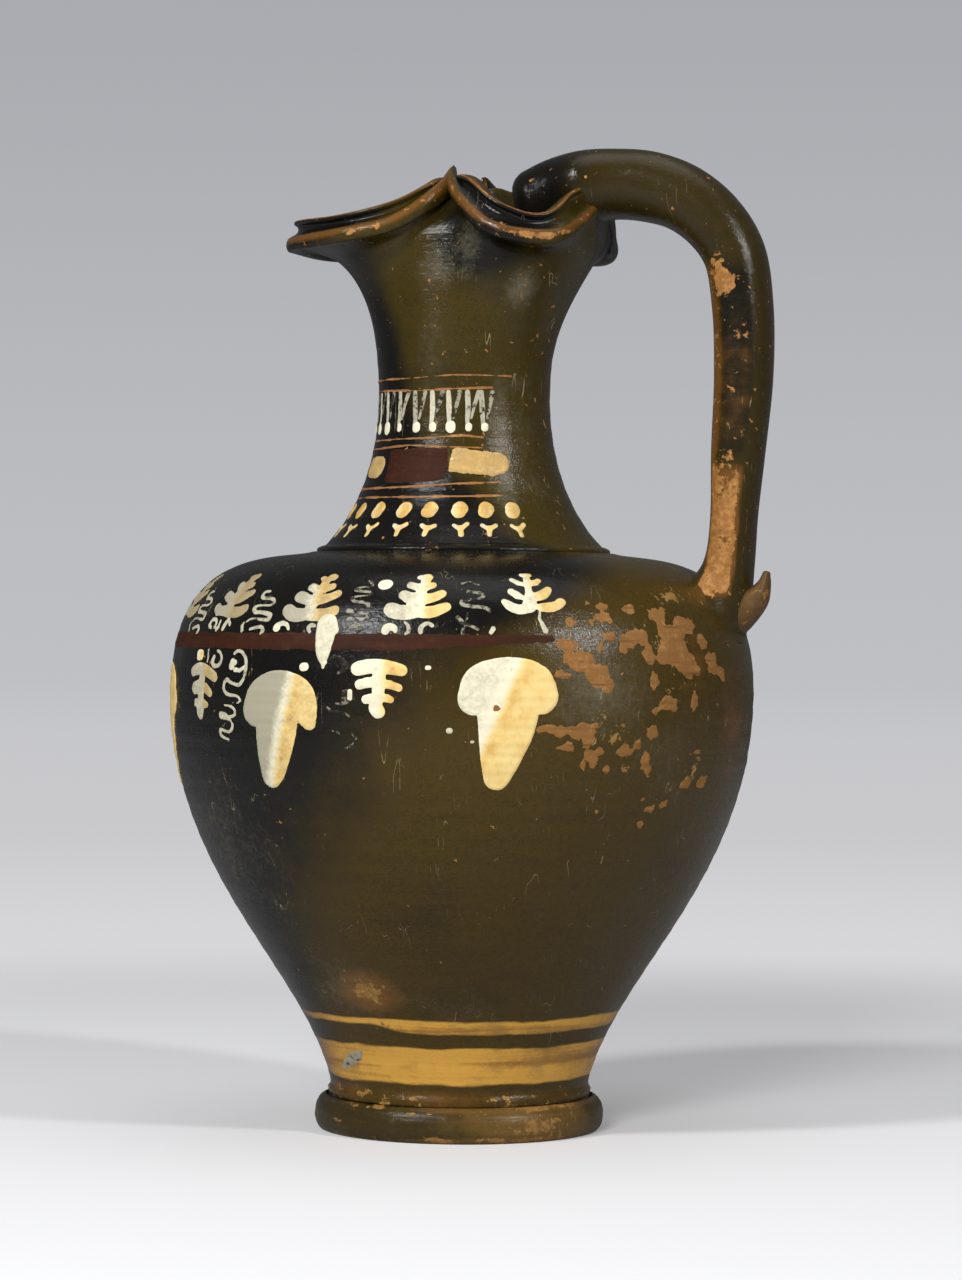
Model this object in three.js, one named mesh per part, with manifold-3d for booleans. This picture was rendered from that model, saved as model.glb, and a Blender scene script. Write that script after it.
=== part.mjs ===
// Trefoil oinochoe: a wheel-thrown wine jug with a pinched, three-lobed mouth and one high handle.
// Millimetres, +Z up. The origin is the centre of the foot's resting face. The spout points along -X
// and the handle stands at +X, so the jug is symmetric about the XZ plane.
import * as THREE from "three";
import Module from "manifold-3d";
import { mergeVertices } from "three/addons/utils/BufferGeometryUtils.js";

const wasm = await Module();
wasm.setup();

// Seam between two luted pieces
const SEAM_GAP = 0.3;

// Foot: a turned disc with a rounded edge
const FOOT_RADIUS = 38.0;
const FOOT_BASE_RADIUS = 36.9;
const FOOT_HEIGHT = 9.4;
const FOOT_TOP_RADIUS = 35.6;
const FOOT_EDGE_HEIGHT = 4.2;
// How far the handles of the edge's curve stand outside the foot's radius
const FOOT_EDGE_FULLNESS = 0.5;

// Body: an egg-shaped bowl whose belly turns into a flat shoulder
const BODY_JOINT_RADIUS = 33.9;
const JOINT_FILLET_RADIUS = 34.5;
const JOINT_FILLET_HEIGHT = 3.0;
const BELLY_RADIUS = 77.0;
const BELLY_HEIGHT = 115.0;
const SHOULDER_HEIGHT = 151.7;
const NECK_SEAT_RADIUS = 40.0;
const BODY_WALL = 4.6;
const FLOOR_THICKNESS = 6.5;
const THROAT_RADIUS = 31.5;
// How far the inside keeps off the floor and the throat before it turns, and how far the floor is drawn in
const INSIDE_CLEARANCE = 1.0;
const FLOOR_INSET = 2.0;
// Lengths of the handles of the two curves that draw the outline
const LOWER_FLARE = 30.5;
const LOWER_FLARE_ANGLE = 0.247;
const BELLY_FULLNESS_BELOW = 48.5;
const BELLY_FULLNESS_ABOVE = 39.1;
const SHOULDER_FLATNESS = 7.7;
const SHOULDER_FALL = 2.4;

// Neck: a concave stem that stands on a small ridge. Its heights are rises above the shoulder
const RIDGE_RADIUS = 38.8;
const RIDGE_HEIGHT = 1.5;
const RIDGE_FULLEST_AT = 0.6;
const NECK_ROOT_RADIUS = 36.5;
const WAIST_RADIUS = 22.5;
const WAIST_RISE = 41.3;
const STEM_TOP_RISE = 47.3;
const STEM_TOP_RADIUS = 22.7;
const NECK_ROOT_SPREAD = 8.1;
const WAIST_STRAIGHTNESS = 17.7;
const NECK_WALL = 4.0;

// Mouth: half of the wall's middle line seen from above, from the spout to the back of the mouth
const MOUTH_LINE = [
  [-43.6, 0],
  [-39.2, -13.6],
  [-25.0, -23.6],
  [-12.0, -22.0],
  [-5.2, -18.0],
  [-2.9, -13.4],
  [0.7, -10.2],
  [4.3, -13.4],
  [6.4, -19.2],
  [10.5, -26.6],
  [19.0, -30.8],
  [27.0, -28.2],
  [33.4, -18.6],
  [35.8, -7.0],
  [36.0, 0],
];
const PINCH_POINT = 6;
// Rise above the shoulder of the bead and of the lip's lower edge at each of those points
const BEAD_RISE = [88.3, 87.6, 87.8, 91.6, 96.1, 98.0, 96.6, 98.0, 98.1, 96.3, 89.1, 86.3, 92.8, 95.8, 96.3];
const LIP_RISE = [79.9, 79.1, 80.0, 83.3, 89.3, 94.2, 92.8, 94.6, 93.6, 87.0, 79.8, 78.0, 81.7, 87.8, 89.8];
const LIP_WALL = 3.4;
const LIP_OVERHANG = 3.3;
const PINCH_OVERHANG = 0.9;
const PINCH_REACH = 9.0;
// How much higher the roll stands, and how far back the bead lies, in the middle of the pinch
const PINCH_ROLL_GAIN = 0.75;
const PINCH_BEAD_SETBACK = 1.5;
const LIP_FACE_HOLLOW = 3.1;
const LIP_UNDERCUT = 1.2;
const LIP_UNDERSIDE_INSET = 1.4;
const ROLL_HEIGHT = 3.4;
const BEAD_SETBACK = 2.0;
const BEAD_HEIGHT = 1.6;
const BEAD_WIDTH = 0.9;
// Where the parts of the lip lie, as shares of its roll, face and bead
const ROLL_FULLEST_AT = 0.4;
const ROLL_CREST_AT = 0.86;
const FACE_HOLLOWEST_AT = 0.55;
const INNER_EDGE_DROP = 1.5;
const INNER_FLARE_DROP = 2.6;
// How the stem flares out to the mouth: straight rise, then how flat it arrives in front and behind
const FLARE_RISE = 16.0;
const FLARE_SPREAD = 14.0;
const FLARE_DROP = 1.8;
const BACK_FLARE_DROP = 13.0;
const PINCH_FLARE_DROP = 7.5;
// The widest and narrowest that the flare's curve is allowed to count as, and its leaning at the back
const WIDENING_LIMITS = [-0.85, 1];
const BACK_UPRIGHTNESS = 0.8;
const INNER_SPREAD = 0.8;

// Handle: a pulled strap. Its middle line in the XZ plane as x and rise above the shoulder, with half
// its depth and half its width
const HANDLE_LINE = [
  [20.5, 92.3, 9.0, 10.2],
  [29.5, 95.7, 9.4, 11.6],
  [40.0, 96.6, 9.2, 11.4],
  [50.0, 95.7, 9.2, 10.9],
  [59.0, 92.6, 8.8, 10.4],
  [67.0, 86.4, 8.4, 10.2],
  [72.6, 77.9, 8.0, 10.0],
  [75.0, 64.3, 7.8, 9.8],
  [75.4, 46.3, 7.5, 9.6],
  [74.1, 26.3, 6.8, 9.4],
  [73.2, 10.3, 5.9, 9.4],
  [72.4, -0.7, 6.0, 9.8],
  [70.8, -10.7, 6.6, 10.6],
  [67.6, -20.7, 7.2, 11.4],
];
const HANDLE_END_ROUNDING = 6.0;
const HANDLE_SQUARENESS = 2.2;

// Spur: an upturned thorn of clay under the handle's lower root, measured as the handle is
const SPUR_LINE = [
  [68.0, -16.7, 7.0, 7.6],
  [75.0, -13.9, 5.8, 6.4],
  [79.2, -11.3, 3.6, 5.0],
  [81.2, -7.9, 1.8, 3.6],
  [81.8, -5.3, 1.0, 2.0],
];
const SPUR_END_ROUNDING = 0.9;
const SPUR_SQUARENESS = 2.0;
const END_BLUNTNESS = 0.6;

// How finely the curves are cut
const AROUND = 52;
const MOUTH_AROUND = 68;
const LOWER_STEPS = 10;
const SHOULDER_STEPS = 8;
const STEM_STEPS = 7;
const FLARE_STEPS = 6;
const HANDLE_STEPS = 26;
const HANDLE_SIDES = 16;
const SPUR_STEPS = 8;
const SPUR_SIDES = 10;
const CAP_STEPS = 3;
const FOOT_EDGE_STEPS = 8;

const bodyBase = FOOT_HEIGHT + SEAM_GAP;
const bellyStart = bodyBase + JOINT_FILLET_HEIGHT;
const neckBase = SHOULDER_HEIGHT + SEAM_GAP;
const ridgeTop = neckBase + RIDGE_HEIGHT;
const waistHeight = SHOULDER_HEIGHT + WAIST_RISE;
const stemTop = SHOULDER_HEIGHT + STEM_TOP_RISE;

// Turned pieces

// Points of a cubic curve in the (radius, height) plane, without its first point where that is shared.
function curvePoints(start, startHandle, endHandle, end, steps, skipFirst) {
  const curve = new THREE.CubicBezierCurve(start, startHandle, endHandle, end);
  return curve.getPoints(steps).slice(skipFirst ? 1 : 0);
}

// The same outline moved by a distance to its left, which is inwards for an outline that climbs.
function offsetOutline(points, distance) {
  return points.map((point, i) => {
    const before = points[Math.max(0, i - 1)];
    const after = points[Math.min(points.length - 1, i + 1)];
    const along = after.clone().sub(before).normalize();
    return new THREE.Vector2(point.x - along.y * distance, point.y + along.x * distance);
  });
}

// A solid of revolution about Z from a profile that starts and ends on the axis or closes on itself.
function turned(profile, around) {
  return new THREE.LatheGeometry(profile, around).rotateX(Math.PI / 2);
}

function footProfile() {
  const edge = new THREE.CubicBezierCurve(
    new THREE.Vector2(FOOT_BASE_RADIUS, 0),
    new THREE.Vector2(FOOT_RADIUS + FOOT_EDGE_FULLNESS, FOOT_EDGE_HEIGHT * 0.25),
    new THREE.Vector2(FOOT_RADIUS + FOOT_EDGE_FULLNESS, FOOT_HEIGHT * 0.95),
    new THREE.Vector2(FOOT_TOP_RADIUS, FOOT_HEIGHT),
  );
  return [new THREE.Vector2(0, 0), ...edge.getPoints(FOOT_EDGE_STEPS), new THREE.Vector2(0, FOOT_HEIGHT)];
}

// The body's outside from the foot joint to the seat of the neck.
function bodyOutline() {
  const lowerStart = new THREE.Vector2(BODY_JOINT_RADIUS, bellyStart);
  const flare = new THREE.Vector2(Math.sin(LOWER_FLARE_ANGLE), Math.cos(LOWER_FLARE_ANGLE));
  const belly = new THREE.Vector2(BELLY_RADIUS, BELLY_HEIGHT);
  const lower = curvePoints(
    lowerStart,
    lowerStart.clone().addScaledVector(flare, LOWER_FLARE),
    new THREE.Vector2(BELLY_RADIUS, BELLY_HEIGHT - BELLY_FULLNESS_BELOW),
    belly,
    LOWER_STEPS,
    false,
  );
  const shoulder = curvePoints(
    belly,
    new THREE.Vector2(BELLY_RADIUS, BELLY_HEIGHT + BELLY_FULLNESS_ABOVE),
    new THREE.Vector2(NECK_SEAT_RADIUS + SHOULDER_FLATNESS, SHOULDER_HEIGHT - SHOULDER_FALL),
    new THREE.Vector2(NECK_SEAT_RADIUS, SHOULDER_HEIGHT),
    SHOULDER_STEPS,
    true,
  );
  return [...lower, ...shoulder];
}

function bodyProfile() {
  const outline = bodyOutline();
  const floor = bodyBase + FLOOR_THICKNESS;
  const inside = offsetOutline(outline, BODY_WALL).filter(
    (point) => point.y > floor + INSIDE_CLEARANCE && point.x > THROAT_RADIUS + INSIDE_CLEARANCE,
  );
  return [
    new THREE.Vector2(0, bodyBase),
    new THREE.Vector2(JOINT_FILLET_RADIUS, bodyBase),
    new THREE.Vector2(JOINT_FILLET_RADIUS, bodyBase + JOINT_FILLET_HEIGHT * 0.5),
    ...outline,
    new THREE.Vector2(THROAT_RADIUS, SHOULDER_HEIGHT),
    new THREE.Vector2(THROAT_RADIUS, SHOULDER_HEIGHT - BODY_WALL),
    ...inside.reverse(),
    new THREE.Vector2(BODY_JOINT_RADIUS - BODY_WALL - FLOOR_INSET, floor),
    new THREE.Vector2(0, floor),
  ];
}

// The filled body with a little extra all round, which cuts the seats of the pieces luted to it.
function bodySeat(clearance) {
  const outline = offsetOutline(bodyOutline(), -clearance);
  const last = outline[outline.length - 1];
  return turned(
    [new THREE.Vector2(0, bellyStart), ...outline, new THREE.Vector2(0, last.y)],
    AROUND,
  );
}

// Neck and mouth

// A smooth closed line through the mouth's points and their mirror images; z holds a height.
function mouthCurve(rises) {
  const half = MOUTH_LINE.map(([x, y], i) => new THREE.Vector3(x, y, SHOULDER_HEIGHT + rises[i]));
  const mirrored = half.slice(1, -1).reverse().map((p) => new THREE.Vector3(p.x, -p.y, p.z));
  return new THREE.CatmullRomCurve3([...half, ...mirrored], true, "centripetal");
}

// One station of the mouth: where the wall's middle line is, which way is out, the lip's heights, and
// how much it belongs to the pinch and to the back of the mouth.
function mouthStations() {
  const top = mouthCurve(BEAD_RISE);
  const bottom = mouthCurve(LIP_RISE);
  const pinch = new THREE.Vector2(...MOUTH_LINE[PINCH_POINT]);
  const stations = [];
  for (let i = 0; i < MOUTH_AROUND; i += 1) {
    const at = i / MOUTH_AROUND;
    const share = top.getUtoTmapping(at);
    const point = top.getPoint(share);
    const along = top.getTangent(share);
    const outward = new THREE.Vector2(along.y, -along.x).normalize();
    const middle = new THREE.Vector2(point.x, point.y);
    const fromPinch = new THREE.Vector2(point.x, -Math.abs(point.y)).distanceTo(pinch);
    const pinched = Math.exp(-((fromPinch / PINCH_REACH) ** 2));
    stations.push({
      middle,
      outward,
      radial: middle.clone().normalize(),
      top: point.z,
      bottom: bottom.getPoint(share).z,
      overhang: LIP_OVERHANG + (PINCH_OVERHANG - LIP_OVERHANG) * pinched,
      pinched,
      behind: Math.max(0, middle.x / middle.length()) ** 3,
    });
  }
  return stations;
}

// A station's vertical column of points: up the outside, over the lip and down the inside. At the pinch
// the lip's face turns up, so that its lower roll stands highest and the bead lies behind it.
function neckColumn(station, grow) {
  const { middle, outward, radial, top, bottom, overhang, pinched, behind } = station;
  const column = [];
  const circle = (radius, height) => {
    column.push(new THREE.Vector3(radial.x * radius, radial.y * radius, height));
  };
  const lip = (out, height) => {
    const place = middle.clone().addScaledVector(outward, out);
    column.push(new THREE.Vector3(place.x, place.y, height));
  };
  const stem = curvePoints(
    new THREE.Vector2(NECK_ROOT_RADIUS, ridgeTop),
    new THREE.Vector2(NECK_ROOT_RADIUS - NECK_ROOT_SPREAD, ridgeTop + NECK_ROOT_SPREAD),
    new THREE.Vector2(WAIST_RADIUS, waistHeight - WAIST_STRAIGHTNESS),
    new THREE.Vector2(WAIST_RADIUS, waistHeight),
    STEM_STEPS,
    false,
  );
  const half = LIP_WALL / 2;
  const flare = (startRadius, endOut, endHeight, spread, step) => {
    const start = new THREE.Vector3(radial.x * startRadius, radial.y * startRadius, stemTop);
    const endPlace = middle.clone().addScaledVector(outward, endOut);
    const end = new THREE.Vector3(endPlace.x, endPlace.y, endHeight);
    const widened = (endPlace.length() - startRadius) / FLARE_SPREAD;
    const widening = THREE.MathUtils.clamp(widened, ...WIDENING_LIMITS);
    const startHandle = start.clone().add(new THREE.Vector3(radial.x, radial.y, FLARE_RISE));
    const lean = spread * widening * (1 - BACK_UPRIGHTNESS * behind);
    const drop = FLARE_DROP + BACK_FLARE_DROP * behind + PINCH_FLARE_DROP * (1 - Math.max(0, widening));
    const endHandle = new THREE.Vector3(end.x - radial.x * lean, end.y - radial.y * lean, end.z - drop);
    return new THREE.CubicBezierCurve3(start, startHandle, endHandle, end).getPoint(step / FLARE_STEPS);
  };
  circle(RIDGE_RADIUS + grow, neckBase - grow);
  circle(RIDGE_RADIUS + grow, neckBase + RIDGE_HEIGHT * RIDGE_FULLEST_AT);
  stem.forEach((point) => circle(point.x + grow, point.y));
  for (let step = 0; step <= FLARE_STEPS; step += 1) {
    column.push(flare(STEM_TOP_RADIUS + grow, half + grow, bottom + LIP_UNDERCUT - grow, FLARE_SPREAD, step));
  }
  const edge = half + overhang + grow;
  const roll = ROLL_HEIGHT * (1 + PINCH_ROLL_GAIN * Math.sqrt(pinched));
  const bead = edge - BEAD_SETBACK - PINCH_BEAD_SETBACK * pinched;
  const face = THREE.MathUtils.lerp(bottom + roll, top - BEAD_HEIGHT, FACE_HOLLOWEST_AT) - 0.6 * pinched;
  lip(edge - LIP_UNDERSIDE_INSET, bottom - grow);
  lip(edge, bottom + roll * ROLL_FULLEST_AT);
  lip(edge - 0.9, bottom + roll * ROLL_CREST_AT + grow);
  lip(edge - LIP_FACE_HOLLOW + 1.6 * pinched, face);
  lip(bead, top - BEAD_HEIGHT * 0.5);
  lip(bead - BEAD_WIDTH * (1 - 0.5 * pinched), top + grow);
  lip(-half * 0.4 - 0.75 * pinched - grow, top - 0.3 + grow);
  lip(-half - 0.2 * pinched - grow, top - BEAD_HEIGHT * INNER_EDGE_DROP);
  for (let step = FLARE_STEPS; step >= 0; step -= 1) {
    const inner = STEM_TOP_RADIUS - NECK_WALL - grow;
    const innerTop = top - BEAD_HEIGHT * INNER_FLARE_DROP;
    column.push(flare(inner, -half - grow, innerTop, FLARE_SPREAD * INNER_SPREAD, step));
  }
  stem.reverse().forEach((point) => circle(Math.min(point.x - NECK_WALL, THROAT_RADIUS) - grow, point.y));
  circle(THROAT_RADIUS - grow, neckBase - grow);
  return column;
}

// A closed skin over a grid of points that wraps round both ways.
function ringSkin(columns) {
  const rows = columns[0].length;
  const positions = columns.flat().flatMap((point) => [point.x, point.y, point.z]);
  const index = [];
  columns.forEach((_, c) => {
    const next = (c + 1) % columns.length;
    for (let r = 0; r < rows; r += 1) {
      const above = (r + 1) % rows;
      index.push(c * rows + r, next * rows + r, next * rows + above);
      index.push(c * rows + r, next * rows + above, c * rows + above);
    }
  });
  const geometry = new THREE.BufferGeometry();
  geometry.setAttribute("position", new THREE.Float32BufferAttribute(positions, 3));
  geometry.setIndex(index);
  return geometry;
}

function neckSkin(grow) {
  return ringSkin(mouthStations().map((station) => neckColumn(station, grow)));
}

// Pulled pieces: the handle and its spur

// A rod swept along a line in the XZ plane; each point of the line is [x, rise, half depth, half width].
function sweptRod(line, steps, sides, squareness, endRounding, roundStart, grow) {
  const path = new THREE.CatmullRomCurve3(
    line.map(([x, rise]) => new THREE.Vector3(x, 0, SHOULDER_HEIGHT + rise)),
  );
  const size = new THREE.CatmullRomCurve3(
    line.map(([, , depth, width]) => new THREE.Vector3(depth, width, 0)),
  );
  const rings = [];
  const ring = (share, scale, push) => {
    const centre = path.getPoint(share);
    const along = path.getTangent(share);
    const across = new THREE.Vector3(-along.z, 0, along.x);
    centre.addScaledVector(along, push);
    const half = size.getPoint(share);
    const points = [];
    for (let side = 0; side < sides; side += 1) {
      const angle = (2 * Math.PI * side) / sides;
      const power = 2 / squareness;
      const deep = Math.sign(Math.cos(angle)) * Math.abs(Math.cos(angle)) ** power;
      const wide = Math.sign(Math.sin(angle)) * Math.abs(Math.sin(angle)) ** power;
      const point = centre.clone().addScaledVector(across, deep * (half.x * scale + grow));
      point.y += wide * (half.y * scale + grow);
      points.push(point);
    }
    rings.push(points);
  };
  const cap = (share, direction) => {
    const shares = Array.from({ length: CAP_STEPS }, (_, i) => ((i + 1) * 0.5 * Math.PI) / (CAP_STEPS + 0.6));
    const ordered = direction < 0 ? shares.reverse() : shares;
    ordered.forEach((angle) => {
      const shrink = Math.cos(angle) ** END_BLUNTNESS;
      ring(share, shrink, direction * (endRounding * Math.sin(angle) + grow));
    });
  };
  if (roundStart) cap(0, -1);
  for (let step = 0; step <= steps; step += 1) ring(step / steps, 1, 0);
  if (!roundStart) cap(1, 1);
  return rodSkin(rings);
}

// A closed skin over rings of points, with a fan of triangles over each end.
function rodSkin(rings) {
  const sides = rings[0].length;
  const positions = rings.flat().flatMap((point) => [point.x, point.y, point.z]);
  const index = [];
  for (let r = 0; r < rings.length - 1; r += 1) {
    for (let side = 0; side < sides; side += 1) {
      const next = (side + 1) % sides;
      const here = r * sides;
      const ahead = here + sides;
      index.push(here + side, here + next, ahead + next);
      index.push(here + side, ahead + next, ahead + side);
    }
  }
  const endFan = (ring, flip) => {
    const centre = new THREE.Vector3();
    ring.points.forEach((point) => centre.addScaledVector(point, 1 / sides));
    const middle = positions.length / 3;
    positions.push(centre.x, centre.y, centre.z);
    for (let side = 0; side < sides; side += 1) {
      const a = ring.first + side;
      const b = ring.first + ((side + 1) % sides);
      index.push(...(flip ? [b, a, middle] : [a, b, middle]));
    }
  };
  endFan({ points: rings[0], first: 0 }, true);
  endFan({ points: rings[rings.length - 1], first: (rings.length - 1) * sides }, false);
  const geometry = new THREE.BufferGeometry();
  geometry.setAttribute("position", new THREE.Float32BufferAttribute(positions, 3));
  geometry.setIndex(index);
  return geometry;
}

function handleRod(grow) {
  return sweptRod(
    HANDLE_LINE, HANDLE_STEPS, HANDLE_SIDES, HANDLE_SQUARENESS, HANDLE_END_ROUNDING, true, grow,
  );
}

function spurRod(grow) {
  return sweptRod(SPUR_LINE, SPUR_STEPS, SPUR_SIDES, SPUR_SQUARENESS, SPUR_END_ROUNDING, false, grow);
}

// Cutting one piece by another

function solid(geometry) {
  const bare = geometry.clone();
  bare.deleteAttribute("normal");
  bare.deleteAttribute("uv");
  const merged = mergeVertices(bare, 1e-4);
  const made = new wasm.Manifold(
    new wasm.Mesh({
      numProp: 3,
      vertProperties: merged.attributes.position.array,
      triVerts: new Uint32Array(merged.index.array),
    }),
  );
  if (made.volume() > 0) return made;
  const flipped = new Uint32Array(merged.index.array);
  for (let i = 0; i < flipped.length; i += 3) {
    [flipped[i + 1], flipped[i + 2]] = [flipped[i + 2], flipped[i + 1]];
  }
  return new wasm.Manifold(
    new wasm.Mesh({ numProp: 3, vertProperties: merged.attributes.position.array, triVerts: flipped }),
  );
}

function geometryOf(manifold) {
  const mesh = manifold.getMesh();
  const geometry = new THREE.BufferGeometry();
  geometry.setAttribute("position", new THREE.BufferAttribute(mesh.vertProperties, 3));
  geometry.setIndex(new THREE.BufferAttribute(mesh.triVerts, 1));
  geometry.computeVertexNormals();
  return geometry;
}

// Materials

const blackSlip = new THREE.MeshStandardMaterial({ color: 0x2a2413, roughness: 0.32, metalness: 0 });
const oliveSlip = new THREE.MeshStandardMaterial({ color: 0x3a3016, roughness: 0.34, metalness: 0 });
const footSlip = new THREE.MeshStandardMaterial({ color: 0x3a2c18, roughness: 0.45, metalness: 0 });
const handleSlip = new THREE.MeshStandardMaterial({ color: 0x40321c, roughness: 0.38, metalness: 0 });
const bareClay = new THREE.MeshStandardMaterial({ color: 0xb06a35, roughness: 0.8, metalness: 0 });

// The pieces

const jug = new THREE.Group();

function addPiece(name, geometry, material) {
  const mesh = new THREE.Mesh(geometry, material);
  mesh.name = name;
  jug.add(mesh);
}

const bodySolid = solid(turned(bodyProfile(), AROUND));
const footSolid = solid(turned(footProfile(), AROUND));
const neckSolid = solid(neckSkin(0));
const seatOnBody = solid(bodySeat(SEAM_GAP));
const handleSolid = solid(handleRod(0)).subtract(seatOnBody).subtract(solid(neckSkin(SEAM_GAP)));
const spurSolid = solid(spurRod(0)).subtract(seatOnBody).subtract(solid(handleRod(SEAM_GAP)));

addPiece("disc_foot", geometryOf(footSolid), footSlip);
addPiece("vessel_body", geometryOf(bodySolid), blackSlip);
addPiece("trefoil_neck", geometryOf(neckSolid), oliveSlip);
addPiece("handle", geometryOf(handleSolid), handleSlip);
addPiece("handle_spur", geometryOf(spurSolid), bareClay);

export default jug;
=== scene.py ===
"""Dresses a painted trefoil oinochoe: a wheel-thrown wine jug with a pinched mouth and one high handle."""

import logging
import math
from dataclasses import dataclass
from dataclasses import field
from enum import Enum
from itertools import cycle

import bpy
import numpy as np
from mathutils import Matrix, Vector


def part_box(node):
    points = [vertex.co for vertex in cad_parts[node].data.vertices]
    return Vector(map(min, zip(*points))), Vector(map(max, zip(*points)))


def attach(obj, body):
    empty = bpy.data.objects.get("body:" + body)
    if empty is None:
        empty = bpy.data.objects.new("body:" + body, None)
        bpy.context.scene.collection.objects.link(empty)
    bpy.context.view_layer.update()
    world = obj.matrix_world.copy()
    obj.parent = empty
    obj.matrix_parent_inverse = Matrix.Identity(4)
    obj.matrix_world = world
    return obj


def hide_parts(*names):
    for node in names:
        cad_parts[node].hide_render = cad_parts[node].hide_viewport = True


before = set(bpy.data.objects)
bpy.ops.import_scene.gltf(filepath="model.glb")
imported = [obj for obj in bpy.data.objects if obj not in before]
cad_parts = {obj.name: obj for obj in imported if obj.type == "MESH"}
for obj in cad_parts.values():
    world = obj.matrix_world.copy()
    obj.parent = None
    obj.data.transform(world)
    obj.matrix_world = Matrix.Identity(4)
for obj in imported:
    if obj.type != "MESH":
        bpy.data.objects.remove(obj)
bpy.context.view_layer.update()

LOG = logging.getLogger("oinochoe")
MM = 0.001
BODY_NAME = "root"
SMOOTH_UP_TO = math.radians(50)
MERGE_DISTANCE = 0.00001
SLIVER = 0.000005

# The potter's hand, in millimetres: rings as depth, gap and drift, slow waves as depth and length, and
# where all of them fade: near the axis, above the stem and over the resting face
RING_MARKS = ((0.05, 5.7, 0.9), (0.03, 2.3, 1.7))
OVAL_DEPTH, OVAL_LENGTH = 0.16, 31
LOBED_DEPTH, LOBED_LENGTH = 0.09, 19
FADE_NEAR_AXIS = (4, 30)
FADE_ABOVE_STEM = (215, 200)
FADE_OVER_REST = (0.5, 4)


class Slot(Enum):
    """The record's finishes that the scene's pieces wear."""

    BLACK = "black_slip"
    OLIVE = "olive_slip"
    WORN = "worn_slip"
    CLAY = "bare_clay"
    CREAM = "cream_slip"
    MAROON = "maroon_slip"


# Small tools


def linear(hex_colour: str) -> tuple[float, float, float, float]:
    """Turns an sRGB hex colour into linear light.

    Args:
        hex_colour: six hex digits after a hash sign.

    Returns:
        Red, green, blue and an alpha of one.
    """
    parts = [int(hex_colour[i:i + 2], 16) / 255 for i in (1, 3, 5)]
    light = [p / 12.92 if p <= 0.04045 else ((p + 0.055) / 1.055) ** 2.4 for p in parts]
    return (light[0], light[1], light[2], 1.0)


def add_node(tree: bpy.types.NodeTree, kind: str, inputs: dict | None = None, output=0, **settings):
    """Adds a shader node with its settings, values and links.

    Args:
        tree: the node tree that gets the node.
        kind: Blender's name of the node type, without its first word.
        inputs: socket name or number to a value, or to the output socket that feeds it.
        output: name or number of the output that is wanted, or None.
        settings: properties of the node itself.

    Returns:
        The wanted output socket.
    """
    node = tree.nodes.new("ShaderNode" + kind)
    for name, value in settings.items():
        setattr(node, name, value)
    for socket, value in (inputs or {}).items():
        if isinstance(value, bpy.types.NodeSocket):
            tree.links.new(value, node.inputs[socket])
        else:
            node.inputs[socket].default_value = value
    return None if output is None else node.outputs[output]


def bezier(p: tuple | np.ndarray, t: float | np.ndarray) -> np.ndarray:
    """A cubic curve's place at t, from its start, its two handles and its end."""
    return (1 - t) ** 3 * p[0] + 3 * (1 - t) ** 2 * t * p[1] + 3 * (1 - t) * t * t * p[2] + t ** 3 * p[3]


def cubic(points: list[tuple[float, float]], steps: int) -> np.ndarray:
    """Samples a cubic curve in the (radius, height) plane.

    Args:
        points: start, its handle, the end's handle, and end.
        steps: how many spans to cut the curve into.

    Returns:
        An array of steps + 1 rows.
    """
    return bezier(np.array(points, float), np.linspace(0, 1, steps + 1)[:, None])


def through(points: np.ndarray, closed: bool, per_span: int) -> np.ndarray:
    """Samples a centripetal Catmull-Rom curve through points of any dimension.

    Args:
        points: one row for each point.
        closed: whether the curve joins its ends.
        per_span: samples for each span between two points.

    Returns:
        The samples; an open curve also has its last point.
    """
    rows = np.asarray(points, float)
    if closed:
        padded = np.vstack([rows[-1:], rows, rows[:2]])
    else:
        padded = np.vstack([2 * rows[:1] - rows[1:2], rows, 2 * rows[-1:] - rows[-2:-1]])
    place = padded[:, :3]
    samples = []
    for i in range(1, len(padded) - 2):
        p0, p1, p2, p3 = padded[i - 1:i + 3]
        gaps = [max(1e-6, float(np.linalg.norm(place[i + k] - place[i + k - 1]))) ** 0.5 for k in range(3)]
        t1 = gaps[0]
        t2 = t1 + gaps[1]
        t3 = t2 + gaps[2]
        t = np.linspace(t1, t2, per_span, endpoint=False)[:, None]
        a1 = (t1 - t) / t1 * p0 + t / t1 * p1
        a2 = (t2 - t) / (t2 - t1) * p1 + (t - t1) / (t2 - t1) * p2
        a3 = (t3 - t) / (t3 - t2) * p2 + (t - t2) / (t3 - t2) * p3
        b1 = (t2 - t) / t2 * a1 + t / t2 * a2
        b2 = (t3 - t) / (t3 - t1) * a2 + (t - t1) / (t3 - t1) * a3
        samples.append((t2 - t) / (t2 - t1) * b1 + (t - t1) / (t2 - t1) * b2)
    if not closed:
        samples.append(rows[-1:])
    return np.vstack(samples)


def evenly(rows: np.ndarray, count: int, closed: bool) -> np.ndarray:
    """Lays a sampled curve out again with equal steps of length.

    Args:
        rows: the samples; their first three columns are a place.
        count: how many rows to return.
        closed: whether the last sample joins the first.

    Returns:
        The new rows; an open curve keeps both ends.
    """
    ring = np.vstack([rows, rows[:1]]) if closed else rows
    length = np.concatenate([[0], np.cumsum(np.linalg.norm(np.diff(ring[:, :3], axis=0), axis=1))])
    at = np.linspace(0, length[-1], count, endpoint=not closed)
    return np.stack([np.interp(at, length, ring[:, c]) for c in range(ring.shape[1])], axis=1)


def smooth(value: np.ndarray, low: float, high: float) -> np.ndarray:
    """Rises smoothly from zero at low to one at high."""
    t = np.clip((value - low) / (high - low), 0, 1)
    return t * t * (3 - 2 * t)


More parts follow.
